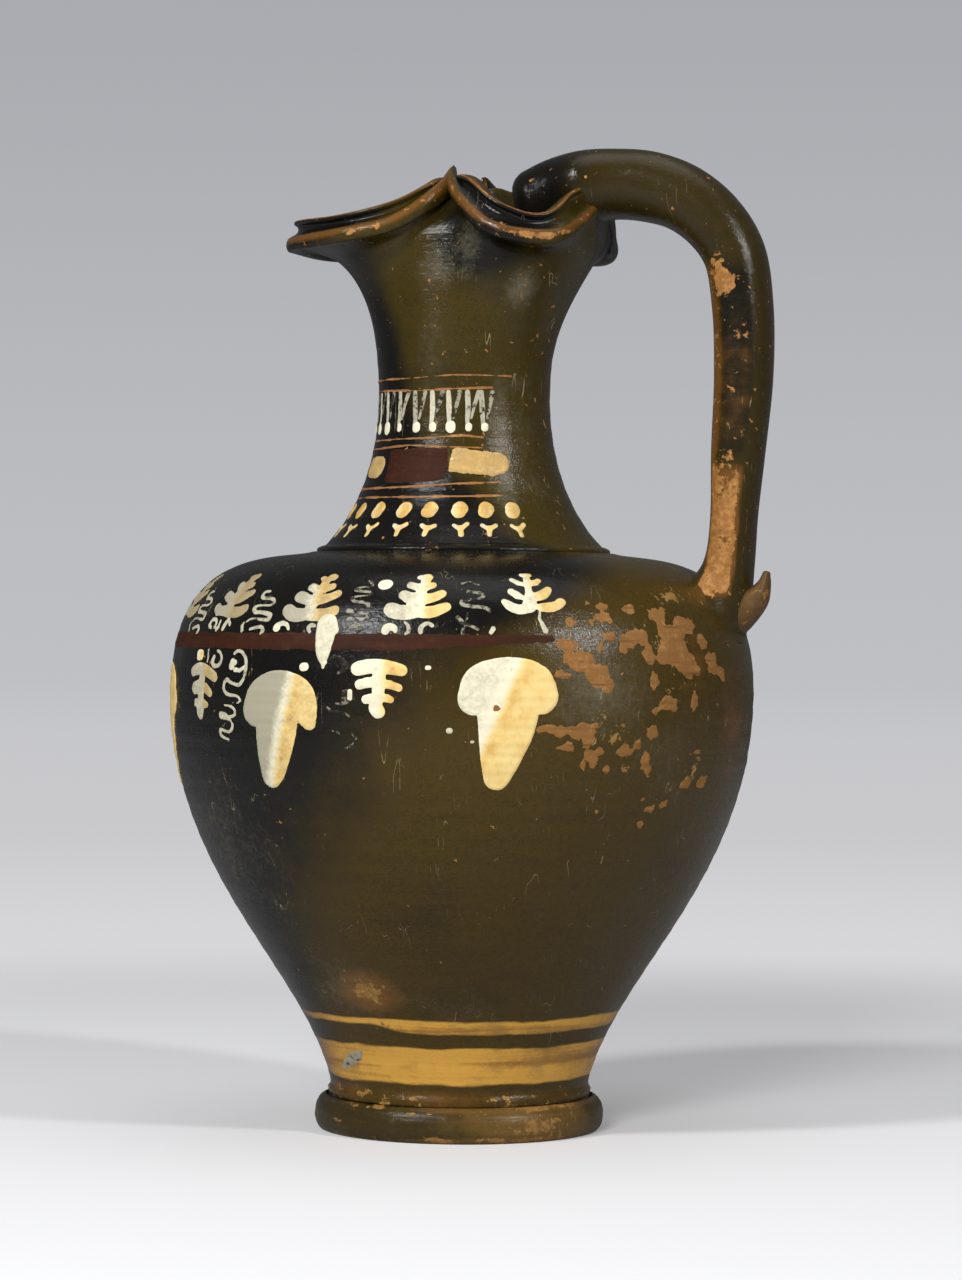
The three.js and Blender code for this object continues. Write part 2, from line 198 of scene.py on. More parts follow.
def heading(turn: np.ndarray) -> np.ndarray:
    """Level unit vectors at turns from the X axis, in radians."""
    return np.stack([np.cos(turn), np.sin(turn)], axis=1)


def azimuth_of(points: np.ndarray) -> np.ndarray:
    """The azimuth of points in degrees, from the spout towards the side of -Y."""
    return np.degrees(np.arctan2(-points[:, 1], -points[:, 0]))


def thrown(points: np.ndarray) -> np.ndarray:
    """Gives a turned wall the slight waviness of the potter's hand.

    Args:
        points: places in millimetres.

    Returns:
        The places, moved outwards or inwards by up to 0.35 mm, less near the axis and above the stem.
    """
    radius = np.hypot(points[:, 0], points[:, 1])
    angle = np.arctan2(points[:, 1], points[:, 0])
    height = points[:, 2]
    push = OVAL_DEPTH * np.cos(2 * angle) * np.cos(height / OVAL_LENGTH)
    push += LOBED_DEPTH * np.cos(3 * angle) * np.sin(height / LOBED_LENGTH)
    for depth, gap, drift in RING_MARKS:
        push += depth * np.sin(2 * math.pi * height / gap + drift * np.cos(angle))
    push *= smooth(radius, *FADE_NEAR_AXIS) * smooth(height, *FADE_ABOVE_STEM)
    push *= smooth(height, *FADE_OVER_REST)
    out = points.copy()
    out[:, :2] *= (1 + push / np.maximum(radius, 1))[:, None]
    return out


def select_only(obj: bpy.types.Object) -> None:
    """Makes one object the only one selected, and active."""
    bpy.ops.object.select_all(action="DESELECT")
    obj.select_set(True)
    bpy.context.view_layer.objects.active = obj


def place_vertices(obj: bpy.types.Object, points: np.ndarray) -> None:
    """Puts a mesh's vertices at places given in millimetres."""
    obj.data.vertices.foreach_set("co", (np.asarray(points, float) * MM).ravel())
    obj.data.update()


def vertex_places(obj: bpy.types.Object) -> np.ndarray:
    """A mesh's vertices in millimetres, one row each."""
    flat = np.zeros(len(obj.data.vertices) * 3)
    obj.data.vertices.foreach_get("co", flat)
    return flat.reshape(-1, 3) / MM


def mark(obj: bpy.types.Object, **fields) -> None:
    """Stores numbers for each vertex, or one for all, which the finish reads by their names."""
    for name, values in fields.items():
        layer = obj.data.attributes.new(name, "FLOAT", "POINT")
        layer.data.foreach_set("value", np.broadcast_to(values, len(obj.data.vertices)).astype(float))


def vertex_numbers(parts: bpy.types.bpy_prop_collection, each: int) -> np.ndarray:
    """The numbers of the vertices of a mesh's edges or faces, one row for each of them."""
    flat = np.zeros(len(parts) * each, int)
    parts.foreach_get("vertices", flat)
    return flat.reshape(-1, each)


def edit(obj: bpy.types.Object, operator, chosen=None, kind: str = "VERT", **settings) -> None:
    """Runs one edit-mode operator on all or a part of a mesh.

    Args:
        obj: the mesh's object.
        operator: the operator.
        chosen: one truth value for each edge or face, or None for all of the mesh.
        kind: what the choice is of, EDGE or FACE.
        settings: the operator's own settings.
    """
    select_only(obj)
    bpy.ops.object.mode_set(mode="EDIT")
    bpy.ops.mesh.select_mode(type=kind)
    bpy.ops.mesh.select_all(action="SELECT" if chosen is None else "DESELECT")
    if chosen is not None:
        bpy.ops.object.mode_set(mode="OBJECT")
        parts = obj.data.edges if kind == "EDGE" else obj.data.polygons
        parts.foreach_set("select", chosen)
        bpy.ops.object.mode_set(mode="EDIT")
    operator(**settings)
    bpy.ops.object.mode_set(mode="OBJECT")


def weld(obj: bpy.types.Object) -> None:
    """Closes a mesh's seams and poles and turns its faces outwards."""
    edit(obj, bpy.ops.mesh.remove_doubles, threshold=MERGE_DISTANCE)
    edit(obj, bpy.ops.mesh.dissolve_degenerate, threshold=SLIVER)
    edit(obj, bpy.ops.mesh.normals_make_consistent, inside=False)


def settle(obj: bpy.types.Object, name: str, slot: Slot, material: bpy.types.Material, *nodes: str) -> None:
    """Finishes a piece: names, shades and dresses it, and ties it to the jug's body.

    Args:
        obj: the piece.
        name: what the piece is called.
        slot: the record's finish that it wears.
        material: its material.
        nodes: the solids that it stands for.
    """
    obj.name = name
    obj.data.name = name
    obj.data.materials.clear()
    obj.data.materials.append(material)
    select_only(obj)
    bpy.ops.object.shade_smooth_by_angle(angle=SMOOTH_UP_TO)
    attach(obj, BODY_NAME)
    if nodes:
        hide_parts(*nodes)
    LOG.info("%s: %d vertices, %s", name, len(obj.data.vertices), slot.value)


def open_ring(count: int) -> bpy.types.Object:
    """Adds a ring of edges, whose vertices are placed later."""
    bpy.ops.object.select_all(action="DESELECT")
    bpy.ops.mesh.primitive_circle_add(vertices=count, radius=0.01, fill_type="NOTHING")
    return bpy.context.active_object


def spun(section: np.ndarray, steps: int) -> bpy.types.Object:
    """Turns a section about Z, as on the wheel.

    Args:
        section: (radius, height) rows in millimetres, from the axis round the wall to the axis.
        steps: how many facets go round.

    Returns:
        The closed solid.
    """
    obj = open_ring(len(section))
    place_vertices(obj, np.stack([section[:, 0], np.zeros(len(section)), section[:, 1]], axis=1))
    pairs = np.sort(vertex_numbers(obj.data.edges, 2), axis=1)
    on_axis = (pairs == (0, len(section) - 1)).all(axis=1)
    edit(obj, bpy.ops.mesh.delete, on_axis, "EDGE", type="EDGE")
    edit(obj, bpy.ops.mesh.spin, steps=steps, angle=2 * math.pi, center=(0, 0, 0), axis=(0, 0, 1))
    weld(obj)
    return obj


def lofted(rings: np.ndarray, closed: bool) -> bpy.types.Object:
    """Extrudes a ring of vertices from station to station.

    Args:
        rings: places in millimetres, shaped (stations, points round, 3).
        closed: whether the last station joins the first. Otherwise both ends are filled.

    Returns:
        The closed solid.
    """
    stations, round_count, _ = rings.shape
    obj = open_ring(round_count)

    def extrude() -> None:
        """Adds the stations after the first one."""
        for _ in range(stations - 1):
            bpy.ops.mesh.extrude_region_move(TRANSFORM_OT_translate={"value": (0, 0, MM)})

    edit(obj, extrude)
    place_vertices(obj, rings.reshape(-1, 3))
    if closed:
        pairs = vertex_numbers(obj.data.edges, 2)
        ends = (pairs < round_count).all(axis=1) | (pairs >= (stations - 1) * round_count).all(axis=1)
        edit(obj, bpy.ops.mesh.bridge_edge_loops, ends, "EDGE")
    else:
        edit(obj, bpy.ops.mesh.fill_holes, sides=0)
    edit(obj, bpy.ops.mesh.normals_make_consistent, inside=False)
    return obj


# The shape of the wall


@dataclass
class Wall:
    """The jug's turned outside: sizes in millimetres, heights from the resting face."""

    foot_top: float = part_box("disc_foot")[1].z / MM
    belly_radius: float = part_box("vessel_body")[1].y / MM
    shoulder_height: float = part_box("vessel_body")[1].z / MM
    seam: float = 0.3
    joint_radius: float = 33.9
    fillet_radius: float = 34.5
    fillet_height: float = 3.0
    belly_height: float = 115.0
    neck_seat_radius: float = 40.0
    wall: float = 4.6
    floor: float = 6.5
    throat_radius: float = 31.5
    neck_root_radius: float = 36.5
    ridge_radius: float = 38.8
    ridge_height: float = 1.5
    waist_radius: float = 22.5
    waist_rise: float = 41.3
    # Handles of the outline's curves: out and up, or along the one way in which the curve sets off
    lower_handle: tuple[float, float] = (7.5, 29.6)
    belly_handle_below: float = 48.5
    belly_handle_above: float = 39.1
    shoulder_handle: tuple[float, float] = (7.7, -2.4)
    root_handle: float = 8.1
    waist_handle: float = 17.7

    def lower(self, steps: int) -> np.ndarray:
        """The outside from the foot joint to the belly."""
        start = self.foot_top + self.seam + self.fillet_height
        out, up = self.lower_handle
        points = [
            (self.joint_radius, start),
            (self.joint_radius + out, start + up),
            (self.belly_radius, self.belly_height - self.belly_handle_below),
            (self.belly_radius, self.belly_height),
        ]
        return cubic(points, steps)

    def shoulder(self, steps: int) -> np.ndarray:
        """The outside from the belly to the seat of the neck."""
        out, up = self.shoulder_handle
        points = [
            (self.belly_radius, self.belly_height),
            (self.belly_radius, self.belly_height + self.belly_handle_above),
            (self.neck_seat_radius + out, self.shoulder_height + up),
            (self.neck_seat_radius, self.shoulder_height),
        ]
        return cubic(points, steps)

    def stem(self, steps: int) -> np.ndarray:
        """The outside of the neck from its ridge to the waist."""
        base = self.shoulder_height + self.seam + self.ridge_height
        waist = self.shoulder_height + self.waist_rise
        points = [
            (self.neck_root_radius, base),
            (self.neck_root_radius - self.root_handle, base + self.root_handle),
            (self.waist_radius, waist - self.waist_handle),
            (self.waist_radius, waist),
        ]
        return cubic(points, steps)

    def body_outside(self) -> np.ndarray:
        """The whole outside of the body, foot joint to neck seat."""
        return np.vstack([self.lower(90), self.shoulder(60)[1:]])

    def neck_outside(self) -> np.ndarray:
        """The outside of the neck that the painter reaches: ridge, waist and the stem's top."""
        stem = self.stem(60)
        top = stem[-1] + np.array([[0.25, 6.0], [0.8, 11.0]])
        return np.vstack([stem, top])


@dataclass
class PaintGround:
    """A stretch of turned wall that motifs are painted on.

    A motif's own x runs round the wall towards the viewer's right and its y up the wall.
    """

    outline: np.ndarray
    length: np.ndarray = field(init=False)
    slope_step: float = 0.8

    def __post_init__(self) -> None:
        """Measures the outline's length."""
        steps = np.linalg.norm(np.diff(self.outline, axis=0), axis=1)
        self.length = np.concatenate([[0], np.cumsum(steps)])

    def origin(self, height: float) -> tuple[float, float]:
        """The length along the outline and the radius at a height."""
        radius, heights = self.outline.T
        return np.interp(height, heights, self.length), np.interp(height, heights, radius)

    def along(self, way: np.ndarray) -> tuple[np.ndarray, np.ndarray]:
        """Radius and height of the wall at lengths along its outline."""
        radius, height = self.outline.T
        return np.interp(way, self.length, radius), np.interp(way, self.length, height)

    def lift(self, azimuth: float, height: float, x: np.ndarray, y: np.ndarray, proud) -> np.ndarray:
        """Lays flat motif coordinates on the wall.

        Args:
            azimuth: degrees from the spout of the motif's origin.
            height: the origin's height in millimetres.
            x: distances round the wall.
            y: distances up the wall.
            proud: how far each point stands off the wall.

        Returns:
            Places in millimetres.
        """
        start, own_radius = self.origin(height)
        radius, z = self.along(start + y)
        above = self.along(start + y + self.slope_step)
        below = self.along(start + y - self.slope_step)
        dr, dz = above[0] - below[0], above[1] - below[1]
        norm = np.maximum(np.hypot(dr, dz), 1e-6)
        away = -heading(math.radians(azimuth) + x / own_radius)
        flat = thrown(np.column_stack([away * radius[:, None], z]))
        normal = np.column_stack([away * (dz / norm)[:, None], -dr / norm])
        return flat + normal * proud[:, None]

    def flatten(self, azimuth: float, height: float, azimuths: np.ndarray, heights: np.ndarray) -> tuple:
        """Flat coordinates of places on the wall, round a motif's origin.

        Args:
            azimuth: the origin's degrees from the spout.
            height: the origin's height.
            azimuths: the places' degrees from the spout.
            heights: their heights.

        Returns:
            Their x and y.
        """
        start, own_radius = self.origin(height)
        x = np.radians(azimuths - azimuth) * own_radius
        return x, np.interp(heights, self.outline[:, 1], self.length) - start


# Finishes


def blank_material(name: str, *numbers: str) -> tuple:
    """Makes an empty node material.

    Args:
        name: what the material is called.
        numbers: the names of the vertex numbers that its patterns read.

    Returns:
        The material, its tree, the Object coordinates that its patterns read, and the numbers' sockets.
    """
    material = bpy.data.materials.new(name)
    material.use_nodes = True
    tree = material.node_tree
    tree.nodes.clear()
    read = [add_node(tree, "Attribute", output=2, attribute_name=number) for number in numbers]
    return material, tree, add_node(tree, "TexCoord", output="Object"), *read


def summed(tree: bpy.types.NodeTree, terms: tuple, start: float = 0.0) -> bpy.types.NodeSocket:
    """Adds up fields by their weights.

    Args:
        tree: the node tree.
        terms: pairs of a field's socket and its weight.
        start: a number that the sum starts from.

    Returns:
        The sum.
    """
    total = start
    for socket, weight in terms:
        total = add_node(tree, "Math", {0: socket, 1: weight, 2: total}, operation="MULTIPLY_ADD")
    return total


def share_of(tree: bpy.types.NodeTree, terms: tuple, low: float, high: float, most: float = 1.0):
    """Says how much of a coat lies at a place, from weighted fields.

    Args:
        tree: the node tree.
        terms: pairs of a field's socket and its weight, which are added up.
        low: the sum at which the coat starts.
        high: the sum at which it is full.
        most: its share where it is full.

    Returns:
        The socket of the share, from zero to most.
    """
    limits = {0: summed(tree, terms), 1: low, 2: high, 4: most}
    return add_node(tree, "MapRange", limits, interpolation_type="SMOOTHSTEP")


def coated(tree: bpy.types.NodeTree, ground, coats: tuple) -> bpy.types.NodeSocket:
    """Lays coats of colour over a ground, each by its own share.

    Args:
        tree: the node tree.
        ground: the lowest colour, as a value or a socket.
        coats: pairs of a share's socket and a colour, from the lowest to the highest.

    Returns:
        The colour that is seen.
    """
    for share, colour in coats:
        ground = add_node(tree, "Mix", {0: share, 6: ground, 7: colour}, 2, data_type="RGBA")
    return ground


def surfaced(tree: bpy.types.NodeTree, look: dict, relief: bpy.types.NodeSocket, bump: dict) -> None:
    """Ends a material's tree.

    Args:
        tree: the node tree.
        look: values and sockets of the one surface that light meets.
        relief: how high its fine relief stands.
        bump: how strongly the relief turns the light.
    """
    normal = add_node(tree, "Bump", {"Height": relief, **bump})
    shader = add_node(tree, "BsdfPrincipled", {**look, "Normal": normal})
    add_node(tree, "OutputMaterial", {"Surface": shader}, None)


@dataclass(frozen=True)
class Grain:
    """A cloudy pattern: the size of its lumps in millimetres, its detail and its roughness."""

    size: float
    detail: float = 3.0
    roughness: float = 0.55
    stretch: tuple[float, float, float] = (1.0, 1.0, 1.0)

    def lay(self, tree: bpy.types.NodeTree, place: bpy.types.NodeSocket) -> bpy.types.NodeSocket:
        """Adds the pattern to a tree; its mean is a half."""
        if self.stretch != (1.0, 1.0, 1.0):
            place = add_node(tree, "Mapping", {"Vector": place, "Scale": self.stretch})
        look = {"Vector": place, "Scale": 1 / (self.size * MM)}
        look |= {"Detail": self.detail, "Roughness": self.roughness}
        return add_node(tree, "TexNoise", look)


@dataclass(frozen=True)
class SlipGlaze:
    """Gloss slip fired black: a thin sintered clay skin, satin, flaked and rubbed in places.

    It gives the eye a black that turns olive and brown where it is thin and blacker where shade is
    painted in, highlights broken by a fine grain, a paler veil and glints where it is scuffed and where
    highlights and sheen are painted in, and matt orange clay where it has come away. Vertex numbers
    called wear, thin, rub, scuff and spill say where.
    """

    name: str
    black: str = "#100f0d"
    olive: str = "#47370d"
    brown: str = "#70491c"
    clay: str = "#93632f"
    pale_clay: str = "#b8854a"
    # The veil and speck colours also paint highlights and sheen into the slip
    haze_and_sheen: str = "#77715f"
    speck: str = "#cdb98c"
    tan: str = "#dca647"
    dark_tan: str = "#86592a"
    roughness: float = 0.24
    index: float = 1.42
    grit_depth: float = 0.07
    speck_level: float = 0.718
    bands: tuple[tuple[float, float, float], ...] = ()

    def build(self) -> bpy.types.Material:
        """Makes the material."""
        names = ("wear", "thin", "rub", "scuff")
        material, tree, place, wear, thin, rub, scuff = blank_material(self.name, *names)
        # Firing clouds, brush and rub marks, torn edges, pitting, and a grit drawn at 0.5 mm so that it shows
        cloud = Grain(38, 4, 0.6).lay(tree, place)
        patch = Grain(9, 5, 0.62).lay(tree, place)
        torn = Grain(5, 5, 0.68).lay(tree, place)
        fine = Grain(1.6, 4, 0.7).lay(tree, place)
        grit = Grain(0.5, 2, 0.6).lay(tree, place)
        pock = Grain(2.1, 3, 0.6).lay(tree, place)
        turning = Grain(2.4, 3, 0.6, (0.03, 0.03, 1.0)).lay(tree, place)
        scratch = Grain(3.2, 1, 0.4, (1.0, 0.7, 0.07)).lay(tree, place)

        clouded = ((thin, 1.0), (cloud, 0.45), (patch, 0.3), (fine, 0.3), (grit, 0.3))
        olive = share_of(tree, clouded, 0.84, 1.5)
        clouded = share_of(tree, ((cloud, 1.0), (turning, 0.35)), 0.68, 0.95, 0.35)
        grained = share_of(tree, ((grit, 1.0), (fine, 0.6)), 0.7, 1.05, 0.4)
        brown = share_of(tree, ((rub, 1.0), (patch, 0.7), (turning, 0.3)), 0.75, 1.2, 0.9)
        orange = share_of(tree, ((rub, 1.0), (torn, 0.8), (fine, 0.4)), 1.28, 1.42)
        flaked = share_of(tree, ((wear, 1.0), (torn, 1.1), (fine, 0.4), (turning, 0.3)), 1.34, 1.4)
        level = self.speck_level
        chipped = share_of(tree, ((pock, 1.0), (scuff, 0.05), (rub, 0.04)), level, level + 0.015)
        # A paler veil and glints where scuff is high: real scuffs, and also highlights and sheen painted in
        # where the scuff numbers mark them
        haze_and_sheen_share = share_of(tree, ((scuff, 0.9), (fine, 0.9), (patch, 0.5)), 0.85, 1.6, 0.55)
        dust_and_glint_share = share_of(tree, ((grit, 1.0), (scuff, 0.12)), 0.76, 0.82, 0.7)
        hairline = add_node(tree, "Math", {0: scratch, 1: 0.5, 2: 0.004}, operation="COMPARE")
        streaky = share_of(tree, ((patch, 1.0),), 0.56, 0.66, 0.45)
        lined = add_node(tree, "Math", {0: hairline, 1: streaky}, operation="MULTIPLY")
        bare = add_node(tree, "Math", {0: flaked, 1: chipped}, operation="MAXIMUM")
        bare = add_node(tree, "Math", {0: bare, 1: orange}, operation="MAXIMUM")
        clay = coated(
            tree, linear(self.clay),
            (
                (share_of(tree, ((fine, 1.0),), 0.4, 0.7), linear(self.pale_clay)),
                (share_of(tree, ((patch, 0.6), (turning, 0.6)), 0.6, 0.85, 0.7), linear(self.brown)),
            ),
        )
        coats = [
            (olive, linear(self.olive)),
            (clouded, linear(self.black)),
            (grained, linear(self.black)),
            (brown, linear(self.brown)),
            (haze_and_sheen_share, linear(self.haze_and_sheen)),
            (dust_and_glint_share, linear(self.speck)),
            (lined, linear(self.speck)),
        ]
        bared_band = self.reserved(tree, place, thin, patch, turning)
        if bared_band:
            coats.append(bared_band)
        colour = coated(tree, linear(self.black), (*coats, (bare, clay)))

        # Grit and cloud have a mean of a half, so half of their weights comes off the roughness
        uneven = ((grit, 0.22), (cloud, 0.14), (scuff, 0.18), (bare, 0.35))
        rough = summed(tree, uneven, self.roughness - 0.18)
        depths = ((grit, self.grit_depth), (fine, 0.10), (patch, 0.25), (turning, 0.12), (bare, -0.12))
        look = {"Base Color": colour, "Roughness": rough, "IOR": self.index}
        surfaced(tree, look, summed(tree, depths), {"Distance": MM})
        return material

    def reserved(self, tree, place, thin, patch, turning) -> tuple | None:
        """Leaves bands of bare tan clay round the body, with a wavering brushed edge.

        Args:
            tree: the node tree.
            place: the Object coordinates.
            thin: where the slip is thin.
            patch: the pattern of brush marks.
            turning: the pattern of the wheel's lines.

        Returns:
            A share and a colour, or nothing where there are no bands.
        """
        if not self.bands:
            return None
        spill = add_node(tree, "Attribute", output=2, attribute_name="spill")
        waver = Grain(16, 3, 0.6).lay(tree, place)
        height = add_node(tree, "SeparateXYZ", {0: place}, 2)
        inside = 0.0
        for low, high, widening in self.bands:
            terms = ((height, 1 / MM), (waver, 2.0), (turning, 1.4))
            above = share_of(tree, (*terms, (spill, widening)), low + 1.3, low + 2.1)
            below = share_of(tree, terms, high + 2.1, high + 1.3, 0.92)
            band = add_node(tree, "Math", {0: above, 1: below}, operation="MULTIPLY")
            inside = add_node(tree, "Math", {0: inside, 1: band}, operation="MAXIMUM")
        tan = coated(
            tree, linear(self.dark_tan),
            (
                (share_of(tree, ((thin, 0.8), (patch, 0.6)), 0.35, 0.95), linear(self.tan)),
                (share_of(tree, ((turning, 1.0), (patch, 0.6)), 0.72, 1.0, 0.75), linear(self.dark_tan)),
                (share_of(tree, ((patch, 1.0), (thin, 0.1)), 0.6, 0.75, 0.4), linear(self.pale_clay)),
            ),
        )
        return inside, tan


@dataclass(frozen=True)
class AddedSlip:
    """Added white slip with a golden wash: thick matt paint, rubbed and grainy, with pin holes.

    It gives the eye a cream that warms to gold. Vertex numbers called gold, grey and faint say where it
    is golden, where it is dirty and where it has worn away.
    """

    name: str
    cream: str = "#ece5c8"
    pale_gold: str = "#efd189"
    deep_gold: str = "#d4a24a"
    dirt: str = "#8c8672"
    ground: str = "#1d1910"

    def build(self) -> bpy.types.Material:
        """Makes the material."""
        material, tree, place, gold, grey, faint = blank_material(self.name, "gold", "grey", "faint")
        cloud = Grain(3.4, 4, 0.6).lay(tree, place)
        grain = Grain(0.8, 3, 0.65).lay(tree, place)
        patch = Grain(1.9, 4, 0.7).lay(tree, place)
        dirtied = share_of(tree, ((grey, 1.0), (patch, 0.8), (grain, 0.5)), 0.75, 1.5, 0.75)
        deepened = share_of(tree, ((gold, 1.0), (cloud, 0.9), (patch, 0.4)), 1.35, 1.95, 0.85)
        colour = coated(
            tree, linear(self.cream),
            (
                (share_of(tree, ((gold, 1.0), (cloud, 0.7)), 0.4, 1.2), linear(self.pale_gold)),
                (deepened, linear(self.deep_gold)),
                (dirtied, linear(self.dirt)),
                (share_of(tree, ((patch, 1.0), (grain, 0.4)), 0.82, 0.98, 0.45), linear(self.dirt)),
                (share_of(tree, ((faint, 1.0),), 0.0, 1.0, 0.85), linear(self.ground)),
                (share_of(tree, ((faint, 0.5), (patch, 0.8), (grain, 0.4)), 0.86, 0.96), linear(self.ground)),
            ),
        )
        relief = summed(tree, ((grain, 0.12), (patch, 1.0)))
        look = {"Base Color": colour, "Roughness": 0.6, "IOR": 1.4}
        surfaced(tree, look, relief, {"Strength": 0.3, "Distance": 0.2 * MM})
        return material


@dataclass(frozen=True)
class MattCoat:
    """A single matt earth colour: added red slip, or the orange fabric bared by a flake or a cut line.

    It gives the eye a dry, mottled surface with the wheel's lines in it.
    """

    name: str
    middle: str
    light: str
    dark: str
    roughness: float = 0.72

    def build(self) -> bpy.types.Material:
        """Makes the material; a vertex number called faint says where it darkens."""
        material, tree, place, faint = blank_material(self.name, "faint")
        patch = Grain(4.5, 5, 0.65).lay(tree, place)
        grain = Grain(0.9, 3, 0.65).lay(tree, place)
        turning = Grain(1.3, 3, 0.6, (0.06, 0.06, 1.0)).lay(tree, place)
        colour = coated(
            tree, linear(self.middle),
            (
                (share_of(tree, ((patch, 0.8), (grain, 0.5)), 0.62, 0.85, 0.8), linear(self.light)),
                (share_of(tree, ((turning, 0.9), (patch, 0.4)), 0.66, 0.9, 0.7), linear(self.dark)),
                (share_of(tree, ((faint, 1.0), (grain, 0.6), (patch, 0.5)), 0.8, 1.35), linear(self.dark)),
            ),
        )
        relief = summed(tree, ((grain, 0.5), (turning, 1.0)))
        look = {"Base Color": colour, "Roughness": self.roughness, "IOR": 1.35}
        surfaced(tree, look, relief, {"Strength": 0.5, "Distance": 0.12 * MM})
        return material


# Wear, placed by azimuth and height


@dataclass(frozen=True)
class Bald:
    """An oval place where slip has flaked off: centre azimuth, centre height, half width and half height."""

    azimuth: float
    height: float
    half_width: float
    half_height: float
    strength: float = 1.0


def wear_field(points: np.ndarray, balds: list[Bald]) -> np.ndarray:
    """How far the slip is worn at each point, from overlapping soft ovals.

    Args:
        points: places in millimetres.
        balds: the ovals.

    Returns:
        One number for each point, about one in the middle of an oval.
    """
    azimuth = azimuth_of(points)
    radius = np.hypot(points[:, 0], points[:, 1])
    total = np.zeros(len(points))
    for bald in balds:
        turn = (azimuth - bald.azimuth + 180) % 360 - 180
        across = np.radians(turn) * radius / bald.half_width
        along = (points[:, 2] - bald.height) / bald.half_height
        total = np.maximum(total, bald.strength * (1.25 - 0.75 * np.hypot(across, along)))
    return np.clip(total, 0, 1)


def bell(at: np.ndarray, middle: float, width: float) -> np.ndarray:
    """A soft bump of height one."""
    return np.exp(-(((at - middle) / width) ** 2))


# Where black turns to olive: height, and degrees from the spout. The change is softest on the low body
OLIVE_EDGE = (
    (0, 34), (20, 42), (46, 58), (75, 72), (100, 86), (126, 104), (142, 134), (151, 146), (156, 126),
    (166, 116), (175, 92), (186, 74), (200, 62), (215, 56), (232, 50),
)
OLIVE_SOFTNESS = 36
SHOULDER_CRISPNESS = 14


def slip_thinness(points: np.ndarray) -> np.ndarray:
    """How thin the slip is: black round the spout, olive from an azimuth on that changes with height."""
    heights, edges = zip(*OLIVE_EDGE)
    edge = np.interp(points[:, 2], heights, edges)
    softness = OLIVE_SOFTNESS - SHOULDER_CRISPNESS * smooth(points[:, 2], 118, 146)
    return smooth(np.abs(azimuth_of(points)), edge - softness, edge + softness)


BODY_FLAKED = [
    Bald(150, 125, 18, 15, 0.34),
    Bald(136, 104, 17, 11, 0.33),
    Bald(158, 95, 13, 13, 0.33),
    Bald(170, 128, 6, 8, 0.32),
    Bald(156, 140, 16, 6, 0.36),
]
# Scuffed places, which the slip shows paler; the broad patches at 133° and 117 mm and at 45° and 78 mm are
# partly painted sheen, where the lamps' sheen falls on the body
BODY_SCUFFS_AND_SHEEN = [
    Bald(133, 117, 17, 12, 0.55),
    Bald(45, 78, 22, 20, 0.34),
    Bald(72, 40, 16, 9, 0.4),
    Bald(108, 36, 22, 12, 0.26),
    Bald(150, 100, 20, 16, 0.3),
    Bald(-120, 90, 30, 24, 0.35),
]
BODY_RUBBED = [Bald(77, 39.4, 8.5, 5.5, 0.84), Bald(172, 108, 12, 26, 0.42), Bald(158, 124, 12, 13, 0.36)]
FOOT_FLAKED = [
    Bald(118, 1.4, 16, 1.4, 0.46),
    Bald(146, 5.0, 13, 3.6, 0.42),
    Bald(70, 8.6, 16, 0.8, 0.44),
    Bald(100, 1.2, 30, 1.6, 0.42),
    Bald(96, 7.6, 20, 0.7, 0.4),
    Bald(52, 4.0, 6, 1.0, 0.4),
    Bald(-100, 2, 14, 2, 0.4),
]
FOOT_RUBBED = [Bald(138, 4.5, 24, 6, 0.6)]
NECK_FLAKED = [
    Bald(172, 180, 3.0, 22.0, 0.30),
    Bald(160, 158, 6.0, 6.0, 0.26),
    Bald(-150, 170, 6, 6, 0.30),
    Bald(122, 205, 6, 8, 0.22),
]
# Painted highlights on the neck: patches where the slip is laid paler with glints, on the flare under the
# lobes and in streaks down the stem, where the lamps' broken highlights fall
NECK_PAINTED_HIGHLIGHTS = [
    Bald(84, 206, 5, 24, 0.35),
    Bald(87, 225, 5, 6, 0.6),
    Bald(108, 230, 3.5, 7, 0.5),
    Bald(138, 220, 4, 5, 0.7),
    Bald(130, 178, 3.5, 20, 0.65),
    Bald(150, 180, 9, 30, 0.35),
]
# Painted shade, which blackens the slip in the crease under the pinch on both sides and on the far lobe, and
# the parts of the lip that are worn most
NECK_PAINTED_SHADE = [Bald(114, 233, 13, 12, 1.3), Bald(-114, 233, 13, 12, 1.3), Bald(-146, 236, 20, 16, 0.9)]
LIP_WORN = [Bald(135, 231, 12, 8), Bald(67, 230, 12, 8)]


